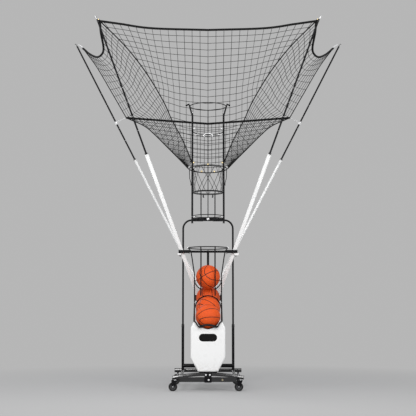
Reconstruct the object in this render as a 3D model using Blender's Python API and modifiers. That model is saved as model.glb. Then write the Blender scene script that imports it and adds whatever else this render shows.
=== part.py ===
"""Basketball shooting machine: castered base, turning launcher, ball tower and a net on four poles.

Metres, +Z up, the front faces -Y. The origin is on the floor under the middle of the machine.
"""
import math

import bmesh
import bpy
from mathutils import Matrix, Vector

# Clearances
GAP = 0.0003
SLIDE_CLEARANCE = 0.0006
BALL_GAP = 0.0005

# Main planes and heights
CHANNEL_Y = -0.15
FRAME_Y = 0.16
FRAME_X = 0.2565
HANDLE_TOP_Z = 1.694
CROSSBAR_Z = 1.367

# Base
WHEEL_RADIUS = 0.042
WHEEL_WIDTH = 0.028
WHEEL_TREAD = 0.018
WHEEL_CHAMFER = 0.0035
WHEEL_SIDES = 20
AXLE_RADIUS = 0.005
CASTER_X = 0.314
CASTER_TRAIL = 0.020
FRONT_CASTER_Y = -0.46
REAR_CASTER_Y = 0.42
FORK_TOP_Z = 0.104
FORK_CROWN = 0.005
FORK_CHEEK = 0.003
FORK_CHEEK_LENGTH = 0.030
FORK_CHEEK_DROP = 0.011
STEM_RADIUS = 0.009
ARCH_RADIUS = 0.018
ARCH_BEYOND = 0.026
ARCH_HALF = CASTER_X + ARCH_BEYOND
ARCH_MIDDLE_Z = 0.1595
ARCH_DROP = 0.0325
ARCH_STEPS = 12
REAR_TUBE_RADIUS = 0.021
REAR_TUBE_BEYOND = 0.035
REAR_TUBE_HALF = CASTER_X + REAR_TUBE_BEYOND
REAR_TUBE_Z = 0.1454
RAIL_RADIUS = 0.016
RAIL_Z = 0.145
SPINE_HALF = 0.03
SPINE_LOW_Z = 0.125
SPINE_HEIGHT = 0.04
BEAM_HALF = 0.272
BEAM_HEIGHT = 0.0455
BEAM_DEPTH = 0.03
BEAM_OVERLAP = 0.004
BEAM_BEHIND_ARCH = 0.012
CLAMP_HALF = 0.034
CLAMP_PLATE = 0.004
CLAMP_LOW_Z = 0.082
CLAMP_TOP_Z = 0.172
CLAMP_LIP_HEIGHT = 0.022

# Turntable
TURNTABLE_RADIUS = 0.09
TURNTABLE_HEIGHT = 0.0127
TURNTABLE_TOP_RADIUS = 0.085
TURNTABLE_TOP_HEIGHT = 0.0109
YAW_SHAFT_RADIUS = 0.010
YAW_MOTOR_RADIUS = 0.035
YAW_MOTOR_HEIGHT = 0.065

# Handle frame, sockets and mast
FRAME_TUBE_RADIUS = 0.0095
FRAME_CORNER_RADIUS = 0.087
SOCKET_RADIUS = 0.0135
SOCKET_TOP_Z = 0.604
SOCKET_INSERT = 0.07
RUNG_RADIUS = 0.020
RUNG_Z = 0.2065
MAST_RADIUS = 0.012
MAST_Y = 0.215
MAST_TOP_RISE = 0.018
CROSSBAR_RADIUS = 0.0115
REST_RADIUS = 0.011
REST_DROP = 0.021
GUIDE_PLATE = 0.006
GUIDE_FRONT_Y = -0.006
GUIDE_LOW = 0.024
GUIDE_HIGH = 0.008
GUIDE_INNER_X = 0.1897
GUIDE_CLEARANCE = 0.0015
REST_BACK_Y = 0.29
SOCKET_BLOCK_HALF = 0.134
SOCKET_BLOCK_FRONT_Y = 0.130
SOCKET_BLOCK_BACK_Y = 0.236
SOCKET_BLOCK_LOW_Z = 0.865
SOCKET_BLOCK_HEIGHT = 0.060
POLE_FOOT_ABOVE = 0.020

# Poles, left side: one point inside the socket block and the tip of the telescoping tube
POLE_LOW_Z = 0.89
FRONT_LOW_X = 0.0937
FRONT_LOW_Y = 0.155
FRONT_SPREAD = 1.0843
FRONT_REACH = 0.60
FRONT_TIP_Z = 3.5967
REAR_LOW_X = 0.025
REAR_LOW_Y = 0.188
REAR_SPREAD = 1.4444
REAR_REACH = 0.6007
REAR_TIP_Z = 3.6634
FRONT_POLE_LOW = Vector((-FRONT_LOW_X, FRONT_LOW_Y, POLE_LOW_Z))
FRONT_POLE_TIP = Vector((-FRONT_SPREAD, -FRONT_REACH, FRONT_TIP_Z))
REAR_POLE_LOW = Vector((-REAR_LOW_X, REAR_LOW_Y, POLE_LOW_Z))
REAR_POLE_TIP = Vector((-REAR_SPREAD, REAR_REACH, REAR_TIP_Z))
FRONT_POLE_WIDTH = 0.038
FRONT_POLE_DEPTH = 0.030
FRONT_POLE_EDGE = 0.004
FRONT_MOUTH_Z = 2.318
REAR_POLE_RADIUS = 0.014
REAR_MOUTH_Z = 2.361
FRONT_UPPER_RADIUS = 0.0092
REAR_UPPER_RADIUS = 0.0085
POLE_INSERT = 0.30
POLE_GUIDE = 0.06
POLE_WALL = 0.002
UPPER_WALL = 0.0018
COLLAR_LENGTH = 0.014
COLLAR_WALL = 0.005
HOOK_WIRE_RADIUS = 0.003
HOOK_RISE = 0.026
HOOK_REACH = 0.014
OUTRIGGER_Z = 2.774
OUTRIGGER_IN = 0.1172
OUTRIGGER_FORWARD = 0.1134
OUTRIGGER_RISE = 0.0367
OUTRIGGER_SLEEVE = 0.034
OUTRIGGER_WALL = 0.005
OUTRIGGER_WIRE_RADIUS = 0.004

# Tower, a ball channel of tubes and rings on the channel axis
TOWER_HALF = 0.158
TOWER_TUBE_RADIUS = 0.0097
TOWER_LOW_Z = 1.633
TOWER_FLARE_Z = 2.729
TOWER_TOP_Z = 2.847
TOWER_FLARE = 0.036
TOWER_ROD_RADIUS = 0.0045
TOWER_RING_SET = 0.007
TOP_RING_DROP = 0.0224
TOP_RING_SET = 0.0042
TOWER_BOW_Z = 2.564
TOWER_MID_RING_Z = 1.941
TOWER_LOW_RING_Z = 1.706
TOWER_ROD_X = 0.07
TOWER_TIP_LENGTH = 0.032
BRACKET_LOW_Z = 1.684
BRACKET_HEIGHT = 0.034
BRACKET_PLATE = 0.0055
BRACKET_ARM = 0.010

# Net ring and nets
NET_RING_GAP = 0.0203
NET_RING_Z = 2.184
NET_RING_TILT = math.radians(3.7)
NET_RING_WIRE = 0.005
NET_HOOK_COUNT = 7
NET_RING_OFFSET = 0.014
NET_EDGE_RISE = 0.009
NET_SEAM_RISE = 0.027
NET_SEAM_SPREAD = math.radians(18)
LOOP_DROP = 0.10
LOOP_BEND = 0.14
LOOP_FOOT = 0.17
NET_STRAND = 0.005
NET_CLEARANCE = 0.002
NET_FRONT_COLUMNS = 5
NET_SIDE_COLUMNS = 6
NET_REAR_COLUMNS = 4
NET_ROWS = 6
SLEEVE_GAP = 0.0023
SLEEVE_FLARE = 0.026
SLEEVE_CLEARANCE = 0.0026
SLEEVE_HEM_DROP = 0.006
SLEEVE_COLUMNS = 12
SLEEVE_ROWS = 2
FRONT_CORNER_IN = 0.0263
FRONT_CORNER_BACK = 0.012
FRONT_CORNER_DROP = 0.0167
REAR_CORNER_IN = 0.0681
REAR_CORNER_FORWARD = 0.0257
REAR_CORNER_DROP = 0.0293
FRONT_TOP_BACK = 0.058
FRONT_TOP_SAG = 0.0726
REAR_TOP_FORWARD = 0.025
REAR_TOP_SAG = 0.0689
FRONT_CORNER = FRONT_POLE_TIP + Vector((FRONT_CORNER_IN, FRONT_CORNER_BACK, -FRONT_CORNER_DROP))
REAR_CORNER = REAR_POLE_TIP + Vector((REAR_CORNER_IN, -REAR_CORNER_FORWARD, -REAR_CORNER_DROP))

# Bends of the net's edges: how far along the straight line, and how far off it
FRONT_EDGE = [(0.519, Vector((-0.0009, 0.0001, -0.0291))), (0.803, Vector((-0.0004, -0.0084, -0.0147)))]
FRONT_SEAM = [
    (0.147, Vector((0.0368, 0.0018, 0.0249))),
    (0.277, Vector((0.0513, -0.0026, 0.0328))),
    (0.400, Vector((0.0771, -0.0092, 0.0502))),
    (0.599, Vector((0.0874, -0.0121, 0.0544))),
    (0.797, Vector((0.0620, -0.0153, 0.0377))),
]
SIDE_EDGE = [
    (0.217, Vector((0.0483, 0.0156, -0.0445))),
    (0.429, Vector((0.1149, 0.0391, -0.1628))),
    (0.605, Vector((0.0925, 0.0344, -0.1918))),
    (0.817, Vector((0.0462, 0.0178, -0.1108))),
]
REAR_BORDER = [(0.381, Vector((0.0063, 0.0212, -0.0014))), (0.731, Vector((0.0063, 0.0142, 0.0)))]
REAR_SEAM = [
    (0.151, Vector((0.0137, 0.0056, 0.0099))),
    (0.365, Vector((0.0302, 0.0171, 0.0205))),
    (0.603, Vector((0.0488, 0.0276, 0.0319))),
    (0.776, Vector((0.0445, 0.0181, 0.0359))),
]

# Balls: the front one rests in the launcher's mouth, the others climb the ramp behind it
BALL_RADIUS = 0.1195
BALL_SEGMENTS = 20
BALL_RINGS = 12
BALL_INNER_RADIUS = 0.1150
INNER_SEGMENTS = 16
INNER_RINGS = 10
VALVE_RADIUS = 0.0025
BALL_NAMES = ("front_ball", "second_ball", "third_ball", "top_ball")
FRONT_BALL = Vector((0.0, -0.470, 0.706))
FRONT_SLOPE = math.radians(18.5)
REAR_SLOPE = math.radians(26.5)

# Ramp under the balls
RAMP_WIRE_RADIUS = 0.006
RAMP_X = 0.06
RAMP_CLEARANCE = 0.0015
RAMP_WRAP = math.radians(105)
RAMP_WRAP_STEPS = 5
RAMP_LEG_RADIUS = 0.005
RAMP_FRONT_LEG_Y = -0.36

# Wire cage round the waiting balls
CAGE_WIRE_RADIUS = 0.0056
CAGE_RADIUS = 0.1345
CAGE_RING_RADIUS = 0.1974
CAGE_RING_Z = 1.385
CAGE_STRAIGHT_Z = 1.115
CAGE_THROAT = [(0.172, 1.355), (0.159, 1.285), (0.149, 1.215)]
CAGE_ROD_X = 0.07
CAGE_HALF_RING_Z = 1.06
CAGE_BRACE_LOW_Z = 0.968
GUARD_WIRE_RADIUS = 0.0065
GUARD_REAR_Z = 0.838
GUARD_FRONT_Y = -0.50
GUARD_FRONT_Z = 0.662
GUARD_CORNER_X = 0.120
GUARD_CORNER_Z = 0.656
GUARD_HOOP_GAP = 0.0020
BAND_RADIUS = 0.009
BAND_HALF = 0.088
BAND_LOW_Z = 0.606
BAND_RISE = 0.0205
BAND_BULGE = 0.014

# Launcher covers and chassis
COVER_WALL = 0.004
COVER_HALF = 0.1655
COVER_BOTTOM_HALF = 0.0955
COVER_TOP_HALF = 0.140
COVER_LOW_Z = 0.185
COVER_KNEE_Z = 0.317
COVER_SHOULDER_Z = 0.600
COVER_TOP_Z = 0.6515
COVER_FRONT_TOP_Y = -0.550
COVER_FRONT_LOW_Y = -0.505
COVER_BACK_Y = -0.24
COVER_EDGE = 0.014
SCOOP_RADIUS = 0.135
SCOOP_Z = 0.720
WINDOW_WIDTH = 0.172
WINDOW_HEIGHT = 0.071
WINDOW_Z = 0.507
WINDOW_THICKNESS = 0.003
WINDOW_ARC_STEPS = 6
REAR_COVER_HALF = 0.150
REAR_COVER_BOTTOM_HALF = 0.0945
REAR_COVER_LOW_Z = 0.195
REAR_COVER_TOP_Z = 0.572
REAR_COVER_BACK_Y = -0.06
FLOOR_THICKNESS = 0.005
PLATE_THICKNESS = 0.004
PLATE_X = 0.085
PLATE_FRONT_Y = -0.480
PLATE_BACK_Y = -0.10
PLATE_TOP_Z = 0.575
BRIDGE_THICKNESS = 0.0055
BRIDGE_HALF = 0.142
BRIDGE_WIDTH = 0.04

# Shooting drive
SHOOT_WHEEL_RADIUS = 0.070
SHOOT_WHEEL_WIDTH = 0.030
SHOOT_WHEEL_X = 0.045
SHOOT_WHEEL_SIDES = 28
SHOOT_Y = -0.455
SHOOT_SHAFT_RADIUS = 0.008
BELT_X = 0.096
BELT_WIDTH = 0.012
BELT_THICKNESS = 0.003
BELT_ARC_STEPS = 10
SHAFT_PULLEY_RADIUS = 0.022
MOTOR_PULLEY_RADIUS = 0.016
MOTOR_Y = -0.36
MOTOR_Z = 0.36
MOTOR_RADIUS = 0.042
MOTOR_LENGTH = 0.13
MOTOR_SHAFT_RADIUS = 0.006
PADDLE_Y = -0.31
PADDLE_Z = 0.560
PADDLE_SHAFT_RADIUS = 0.006
PADDLE_HALF = 0.040
PADDLE_TIP_Y = -0.345
PADDLE_TIP_Z = 0.652
PADDLE_FINGER_RADIUS = 0.006

# Control box at the back of the base
BOX_HALF = 0.125
BOX_FRONT_Y = 0.235
BOX_BACK_Y = 0.385
BOX_HEIGHT = 0.265
BOX_EDGE = 0.006
SWITCH_X = -0.06
SWITCH_Z = 0.37
SWITCH_WIDTH = 0.016
SWITCH_HEIGHT = 0.020
SWITCH_THICKNESS = 0.012
SWITCH_PROUD = 0.0035
SWITCH_ROOM = 0.0015
INLET_X = 0.06
INLET_WIDTH = 0.032
INLET_HEIGHT = 0.024
INLET_DEPTH = 0.008

# Resolution
RING_SEGMENTS = 24
ROUND_SIDES = 16
SMOOTH_ANGLE = math.radians(40)

UP = Vector((0.0, 0.0, 1.0))
SIDES = (("left", 1.0), ("right", -1.0))


def clear_scene():
    """Remove every object of the open file."""
    for old in list(bpy.data.objects):
        bpy.data.objects.remove(old, do_unlink=True)


def new_collection(name):
    collection = bpy.data.collections.new(name)
    bpy.context.scene.collection.children.link(collection)
    return collection


def new_material(name, colour, roughness, metallic=0.0):
    material = bpy.data.materials.new(name)
    material.use_nodes = True
    shader = material.node_tree.nodes["Principled BSDF"]
    shader.inputs["Base Color"].default_value = (*colour, 1.0)
    shader.inputs["Roughness"].default_value = roughness
    shader.inputs["Metallic"].default_value = metallic
    material.diffuse_color = (*colour, 1.0)
    return material


clear_scene()
PARTS = new_collection("basketball_shooting_machine")
CUTTERS = new_collection("cutters")

BLACK_COAT = ((0.012, 0.012, 0.013), 0.38, 0.2)
GLOSS_BLACK = ((0.010, 0.010, 0.011), 0.20, 0.3)
WHITE_COAT = ((0.80, 0.80, 0.80), 0.35, 0.0)
STEEL = ((0.55, 0.56, 0.57), 0.28, 1.0)
RUBBER = ((0.016, 0.016, 0.017), 0.85, 0.0)
DARK_PLASTIC = ((0.020, 0.020, 0.022), 0.50, 0.0)
BALL_ORANGE = ((0.62, 0.14, 0.025), 0.60, 0.0)
NET_BLACK = ((0.010, 0.010, 0.010), 0.90, 0.0)


def finish(obj, name, look, origin=None, sharp=True):
    """Name an object, give it its own material and put it among the parts."""
    obj.name = name
    obj.data.name = name
    obj.data.materials.clear()
    obj.data.materials.append(new_material(name + "_finish", *look))
    for collection in list(obj.users_collection):
        collection.objects.unlink(obj)
    PARTS.objects.link(obj)
    if obj.type == "MESH":
        obj.data.shade_smooth()
        if sharp:
            obj.data.set_sharp_from_angle(angle=SMOOTH_ANGLE)
    if origin is not None:
        shift = Matrix.Translation(-Vector(origin))
        obj.data.transform(shift @ obj.matrix_world)
        obj.matrix_world = Matrix.Translation(Vector(origin))
    return obj


def mesh_object(bm, name="shape"):
    mesh = bpy.data.meshes.new(name)
    bm.to_mesh(mesh)
    bm.free()
    obj = bpy.data.objects.new(name, mesh)
    CUTTERS.objects.link(obj)
    return obj


def box(low, high):
    """A box between two corners."""
    low, high = Vector(low), Vector(high)
    bm = bmesh.new()
    bmesh.ops.create_cube(bm, size=1.0)
    bmesh.ops.scale(bm, vec=high - low, verts=bm.verts)
    bmesh.ops.translate(bm, vec=(low + high) / 2, verts=bm.verts)
    return mesh_object(bm)


def cylinder(start, end, radius, sides=ROUND_SIDES, end_radius=None):
    """A round bar between two points, with one flat facing down or sideways."""
    start, end = Vector(start), Vector(end)
    along = end - start
    bm = bmesh.new()
    bmesh.ops.create_cone(
        bm, cap_ends=True, segments=sides, radius1=radius,
        radius2=radius if end_radius is None else end_radius, depth=along.length,
    )
    bmesh.ops.rotate(bm, matrix=Matrix.Rotation(math.pi / sides, 3, "Z"), verts=bm.verts)
    turn = along.to_track_quat("Z", "Y").to_matrix()
    bmesh.ops.rotate(bm, matrix=turn, verts=bm.verts)
    bmesh.ops.translate(bm, vec=(start + end) / 2, verts=bm.verts)
    return mesh_object(bm)


def sphere(radius, segments, rings):
    bm = bmesh.new()
    bmesh.ops.create_uvsphere(bm, u_segments=segments, v_segments=rings, radius=radius)
    return mesh_object(bm)


def ring(centre, radius, wire, start=0.0, sweep=2 * math.pi):
    """A wire ring, or part of one, lying flat; angles count from the front towards the left."""
    steps = max(3, round(RING_SEGMENTS * sweep / (2 * math.pi)))
    closed = sweep >= 2 * math.pi - 1e-6
    points = []
    for step in range(steps if closed else steps + 1):
        angle = start + sweep * step / steps
        points.append(Vector(centre) + Vector((-math.sin(angle), -math.cos(angle), 0)) * radius)
    return wire_along(points, wire, closed)


def wire_along(points, radius, closed=False, resolution=1):
    """A bent wire or tube through points, as a closed mesh with filled ends."""
    curve = bpy.data.curves.new("wire", "CURVE")
    curve.dimensions = "3D"
    curve.bevel_depth = radius
    curve.bevel_resolution = resolution
    curve.use_fill_caps = True
    spline = curve.splines.new("POLY")
    spline.points.add(len(points) - 1)
    for point, place in zip(spline.points, points):
        point.co = (*place, 1.0)
    spline.use_cyclic_u = closed
    obj = bpy.data.objects.new("wire", curve)
    CUTTERS.objects.link(obj)
    return as_mesh(obj)


def plate(outline, low_y, high_y, hole=None):
    """A flat outline of (x, z) points, thick from low_y to high_y."""
    curve = bpy.data.curves.new("plate", "CURVE")
    curve.dimensions = "2D"
    curve.fill_mode = "BOTH"
    curve.extrude = (high_y - low_y) / 2
    for loop in (outline, hole):
        if loop:
            spline = curve.splines.new("POLY")
            spline.points.add(len(loop) - 1)
            for point, (x, z) in zip(spline.points, loop):
                point.co = (x, z, 0.0, 1.0)
            spline.use_cyclic_u = True
    obj = bpy.data.objects.new("plate", curve)
    CUTTERS.objects.link(obj)
    obj.matrix_world = Matrix.Translation((0, (low_y + high_y) / 2, 0)) @ Matrix.Rotation(math.pi / 2, 4, "X")
    return as_mesh(obj)


def as_mesh(obj):
    """Replace a curve, or an object with modifiers, by its evaluated mesh in world space."""
    bpy.context.view_layer.update()
    depsgraph = bpy.context.evaluated_depsgraph_get()
    mesh = bpy.data.meshes.new_from_object(obj.evaluated_get(depsgraph))
    mesh.transform(obj.matrix_world)
    bm = bmesh.new()
    bm.from_mesh(mesh)
    bmesh.ops.remove_doubles(bm, verts=bm.verts, dist=0.00002)
    bmesh.ops.recalc_face_normals(bm, faces=bm.faces)
    bm.to_mesh(mesh)
    bm.free()
    bpy.data.objects.remove(obj, do_unlink=True)
    result = bpy.data.objects.new("shape", mesh)
    CUTTERS.objects.link(result)
    return result


def turned(profile, start, along, sides=RING_SEGMENTS):
    """A turned piece: (radius, height) points from the outer top to the inner top, round an axis."""
    bm = bmesh.new()
    loop = [bm.verts.new((radius, 0, height)) for radius, height in profile]
    for first, second in zip(loop, loop[1:] + loop[:1]):
        bm.edges.new((first, second))
    obj = mesh_object(bm)
    screw = obj.modifiers.new("turn", "SCREW")
    screw.steps = sides
    screw.render_steps = sides
    screw.use_merge_vertices = True
    screw.merge_threshold = 0.00001
    obj = as_mesh(obj)
    half_step = Matrix.Rotation(math.pi / sides, 4, "Z")
    turn = Vector(along).to_track_quat("Z", "Y").to_matrix().to_4x4()
    obj.data.transform(Matrix.Translation(Vector(start)) @ turn @ half_step)
    return obj


def tube_profile(outer, inner, length):
    return [(outer, length), (outer, 0.0), (inner, 0.0), (inner, length)]


def boolean(obj, tool, operation):
    """Join or cut a mesh with another one, which is used up."""
    modifier = obj.modifiers.new(operation.lower(), "BOOLEAN")
    modifier.operation = operation
    modifier.object = tool
    modifier.solver = "EXACT"
    result = as_mesh(obj)
    bpy.data.objects.remove(tool, do_unlink=True)
    return result


def weld(pieces):
    """One solid from pieces that run into each other."""
    result = pieces[0]
    for piece in pieces[1:]:
        result = boolean(result, piece, "UNION")
    return result


def cut(obj, tools):
    for tool in tools:
        obj = boolean(obj, tool, "DIFFERENCE")
    return obj


def bevelled(obj, width, segments=2):
    bevel = obj.modifiers.new("edges", "BEVEL")
    bevel.width = width
    bevel.segments = segments
    bevel.limit_method = "ANGLE"
    return as_mesh(obj)


def mirrored(point, side):
    """A point of the left side, or its mirror image on the right."""
    return Vector((point[0] * side, point[1], point[2]))


def hang(children, name, place):
    """Parent pieces to an empty that stands on their joint's axis."""
    empty = bpy.data.objects.new(name, None)
    empty.empty_display_size = 0.05
    empty.location = place
    PARTS.objects.link(empty)
    for child in children:
        child.parent = empty
        child.matrix_parent_inverse = Matrix.Translation(Vector(place)).inverted()
    return empty


def arch_z(x):
    """Height of the front arch's centre line at a distance from the middle."""
    return ARCH_MIDDLE_Z - ARCH_DROP * (x / ARCH_HALF) ** 2


def arch_points():
    points = []
    for step in range(ARCH_STEPS + 1):
        x = -ARCH_HALF + 2 * ARCH_HALF * step / ARCH_STEPS
        points.append(Vector((x, FRONT_CASTER_Y, arch_z(x))))
    return points


def build_base():
    front = beam_front_y()
    beam_top = SPINE_LOW_Z + BEAM_OVERLAP
    pieces = [
        wire_along(arch_points(), ARCH_RADIUS, resolution=3),
        cylinder((-REAR_TUBE_HALF, REAR_CASTER_Y, REAR_TUBE_Z), (REAR_TUBE_HALF, REAR_CASTER_Y, REAR_TUBE_Z),
                 REAR_TUBE_RADIUS),
        box((-SPINE_HALF, FRONT_CASTER_Y, SPINE_LOW_Z),
            (SPINE_HALF, REAR_CASTER_Y, SPINE_LOW_Z + SPINE_HEIGHT)),
        box((-BEAM_HALF, front, beam_top - BEAM_HEIGHT), (BEAM_HALF, front + BEAM_DEPTH, beam_top)),
        cylinder((0, CHANNEL_Y, SPINE_LOW_Z + SPINE_HEIGHT / 2),
                 (0, CHANNEL_Y, SPINE_LOW_Z + SPINE_HEIGHT + TURNTABLE_HEIGHT),
                 TURNTABLE_RADIUS, RING_SEGMENTS),
    ]
    for _, side in SIDES:
        pieces.append(cylinder((FRAME_X * side, FRONT_CASTER_Y, RAIL_Z),
                               (FRAME_X * side, REAR_CASTER_Y, RAIL_Z), RAIL_RADIUS, 12))
    bore = cylinder((0, CHANNEL_Y, 0), (0, CHANNEL_Y, 1), YAW_SHAFT_RADIUS + SLIDE_CLEARANCE)
    finish(cut(weld(pieces), [bore]), "base_frame", GLOSS_BLACK)
    clamp_back = clamp_front_y() + CLAMP_PLATE
    clamp = weld([
        box((-CLAMP_HALF, clamp_front_y(), CLAMP_LOW_Z), (CLAMP_HALF, clamp_back, CLAMP_TOP_Z)),
        box((-CLAMP_HALF * 0.9, clamp_back - CLAMP_PLATE / 2, CLAMP_LOW_Z + GAP),
            (CLAMP_HALF * 0.9, front - GAP, CLAMP_LOW_Z + CLAMP_LIP_HEIGHT)),
    ])
    finish(clamp, "centre_clamp", BLACK_COAT)
    for row, y in (("front", FRONT_CASTER_Y), ("rear", REAR_CASTER_Y)):
        for name, side in SIDES:
            tube_bottom = (arch_z(CASTER_X + 2 * STEM_RADIUS) - ARCH_RADIUS if row == "front"
                           else REAR_TUBE_Z - REAR_TUBE_RADIUS)
            build_caster(f"{row}_{name}", Vector((-CASTER_X * side, y, 0)), tube_bottom - GAP)


def beam_front_y():
    return FRONT_CASTER_Y + ARCH_RADIUS + BEAM_BEHIND_ARCH


def clamp_front_y():
    return FRONT_CASTER_Y - ARCH_RADIUS - GAP - CLAMP_PLATE


def build_caster(name, pivot, stem_top):
    """A caster whose wheel trails to the left of its swivel axis."""
    axle = pivot + Vector((-CASTER_TRAIL, 0, WHEEL_RADIUS * math.cos(math.pi / WHEEL_SIDES)))
    half = WHEEL_WIDTH / 2 + 2 * SLIDE_CLEARANCE
    low_z = WHEEL_RADIUS - FORK_CHEEK_DROP
    crown_low = FORK_TOP_Z - FORK_CROWN
    left_x = axle.x - FORK_CHEEK_LENGTH / 2
    right_x = pivot.x + FORK_CHEEK_LENGTH / 2
    pieces = [box((left_x, pivot.y - half - FORK_CHEEK, crown_low),
                  (right_x, pivot.y + half + FORK_CHEEK, FORK_TOP_Z))]
    for way in (-1, 1):
        inner = pivot.y + way * half
        outer = pivot.y + way * (half + FORK_CHEEK)
        outline = [(left_x, crown_low + FORK_CROWN / 2), (axle.x - FORK_CHEEK_DROP, low_z),
                   (axle.x + FORK_CHEEK_DROP, low_z), (right_x, crown_low + FORK_CROWN / 2)]
        pieces.append(plate(outline, min(inner, outer), max(inner, outer)))
    pieces.append(cylinder(axle + Vector((0, -half - FORK_CHEEK / 2, 0)),
                           axle + Vector((0, half + FORK_CHEEK / 2, 0)), AXLE_RADIUS, 10))
    pieces.append(cylinder(pivot + UP * (FORK_TOP_Z - FORK_CROWN / 2), pivot + UP * stem_top,
                           STEM_RADIUS, 12))
    finish(weld(pieces), name + "_caster_fork", BLACK_COAT, origin=pivot)
    edge = WHEEL_RADIUS - WHEEL_CHAMFER
    tread = WHEEL_TREAD / 2
    width = WHEEL_WIDTH / 2
    bore = AXLE_RADIUS + SLIDE_CLEARANCE
    profile = [(edge, width), (WHEEL_RADIUS, tread), (WHEEL_RADIUS, -tread), (edge, -width),
               (bore, -width), (bore, width)]
    finish(turned(profile, axle, (0, 1, 0), WHEEL_SIDES), name + "_caster_wheel", RUBBER, origin=axle)


def build_turntable():
    disc_low = SPINE_LOW_Z + SPINE_HEIGHT + TURNTABLE_HEIGHT + GAP
    disc = cylinder((0, CHANNEL_Y, disc_low), (0, CHANNEL_Y, disc_low + TURNTABLE_TOP_HEIGHT),
                    TURNTABLE_TOP_RADIUS, RING_SEGMENTS)
    shaft = cylinder((0, CHANNEL_Y, SPINE_LOW_Z), (0, CHANNEL_Y, disc_low + TURNTABLE_TOP_HEIGHT / 2),
                     YAW_SHAFT_RADIUS)
    top = finish(weld([disc, shaft]), "turntable", STEEL)
    motor = cylinder((0, CHANNEL_Y, SPINE_LOW_Z - GAP - YAW_MOTOR_HEIGHT),
                     (0, CHANNEL_Y, SPINE_LOW_Z - GAP), YAW_MOTOR_RADIUS, RING_SEGMENTS)
    finish(motor, "turntable_motor", DARK_PLASTIC)
    return top, disc_low + TURNTABLE_TOP_HEIGHT + GAP


def build_handle_frame():
    """The tall U-frame with its handle bar, standing in two sockets joined by a rung."""
    points = [Vector((-FRAME_X, FRAME_Y, SOCKET_TOP_Z - SOCKET_INSERT + GAP))]
    for side, angles in ((-1, (180, 165, 150, 135, 120, 105, 90)), (1, (90, 75, 60, 45, 30, 15, 0))):
        for degrees in angles:
            angle = math.radians(degrees)
            points.append(Vector((
                side * (FRAME_X - FRAME_CORNER_RADIUS) + FRAME_CORNER_RADIUS * math.cos(angle), FRAME_Y,
                HANDLE_TOP_Z - FRAME_CORNER_RADIUS + FRAME_CORNER_RADIUS * math.sin(angle))))
    points.append(Vector((FRAME_X, FRAME_Y, SOCKET_TOP_Z - SOCKET_INSERT + GAP)))
    finish(wire_along(points, FRAME_TUBE_RADIUS, resolution=2), "handle_frame", BLACK_COAT)
    low_z = RAIL_Z + RAIL_RADIUS + GAP
    pieces = [cylinder((-FRAME_X, FRAME_Y, RUNG_Z), (FRAME_X, FRAME_Y, RUNG_Z), RUNG_RADIUS)]
    bores = []
    for _, side in SIDES:
        x = FRAME_X * side
        pieces.append(cylinder((x, FRAME_Y, low_z), (x, FRAME_Y, SOCKET_TOP_Z), SOCKET_RADIUS))
        bores.append(cylinder((x, FRAME_Y, SOCKET_TOP_Z - SOCKET_INSERT), (x, FRAME_Y, SOCKET_TOP_Z + GAP),
                              FRAME_TUBE_RADIUS + GAP))
    finish(cut(weld(pieces), bores), "frame_sockets", BLACK_COAT)


def crossbar_y():
    return FRAME_Y - FRAME_TUBE_RADIUS - GAP - CROSSBAR_RADIUS


def pole_frame(low, tip, side):
    """Axes of a pole: its own direction, the way across it in the front view, and the third."""
    along = (mirrored(tip, side) - mirrored(low, side)).normalized()
    across = Vector((0, 1, 0)).cross(along).normalized()
    return along, across, along.cross(across)


def at_height(low, tip, z):
    return low + (tip - low) * ((z - low.z) / (tip.z - low.z))


def pole_guide(side, outer_x, back_y):
    """A flat bar bent round a front pole, with both its ends run back to the crossbar."""
    inner_x = GUIDE_INNER_X + GUIDE_PLATE
    inner_y = GUIDE_FRONT_Y + GUIDE_PLATE
    outline = [(outer_x + GUIDE_PLATE, back_y), (outer_x + GUIDE_PLATE, GUIDE_FRONT_Y),
               (GUIDE_INNER_X, GUIDE_FRONT_Y), (GUIDE_INNER_X, back_y), (inner_x, back_y),
               (inner_x, inner_y), (outer_x, inner_y), (outer_x, back_y)]
    guide = plate([(-x * side, y) for x, y in outline],
                  -CROSSBAR_Z - GUIDE_HIGH, -CROSSBAR_Z + GUIDE_LOW)
    guide.data.transform(Matrix.Rotation(-math.pi / 2, 4, "X"))
    return guide


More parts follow.
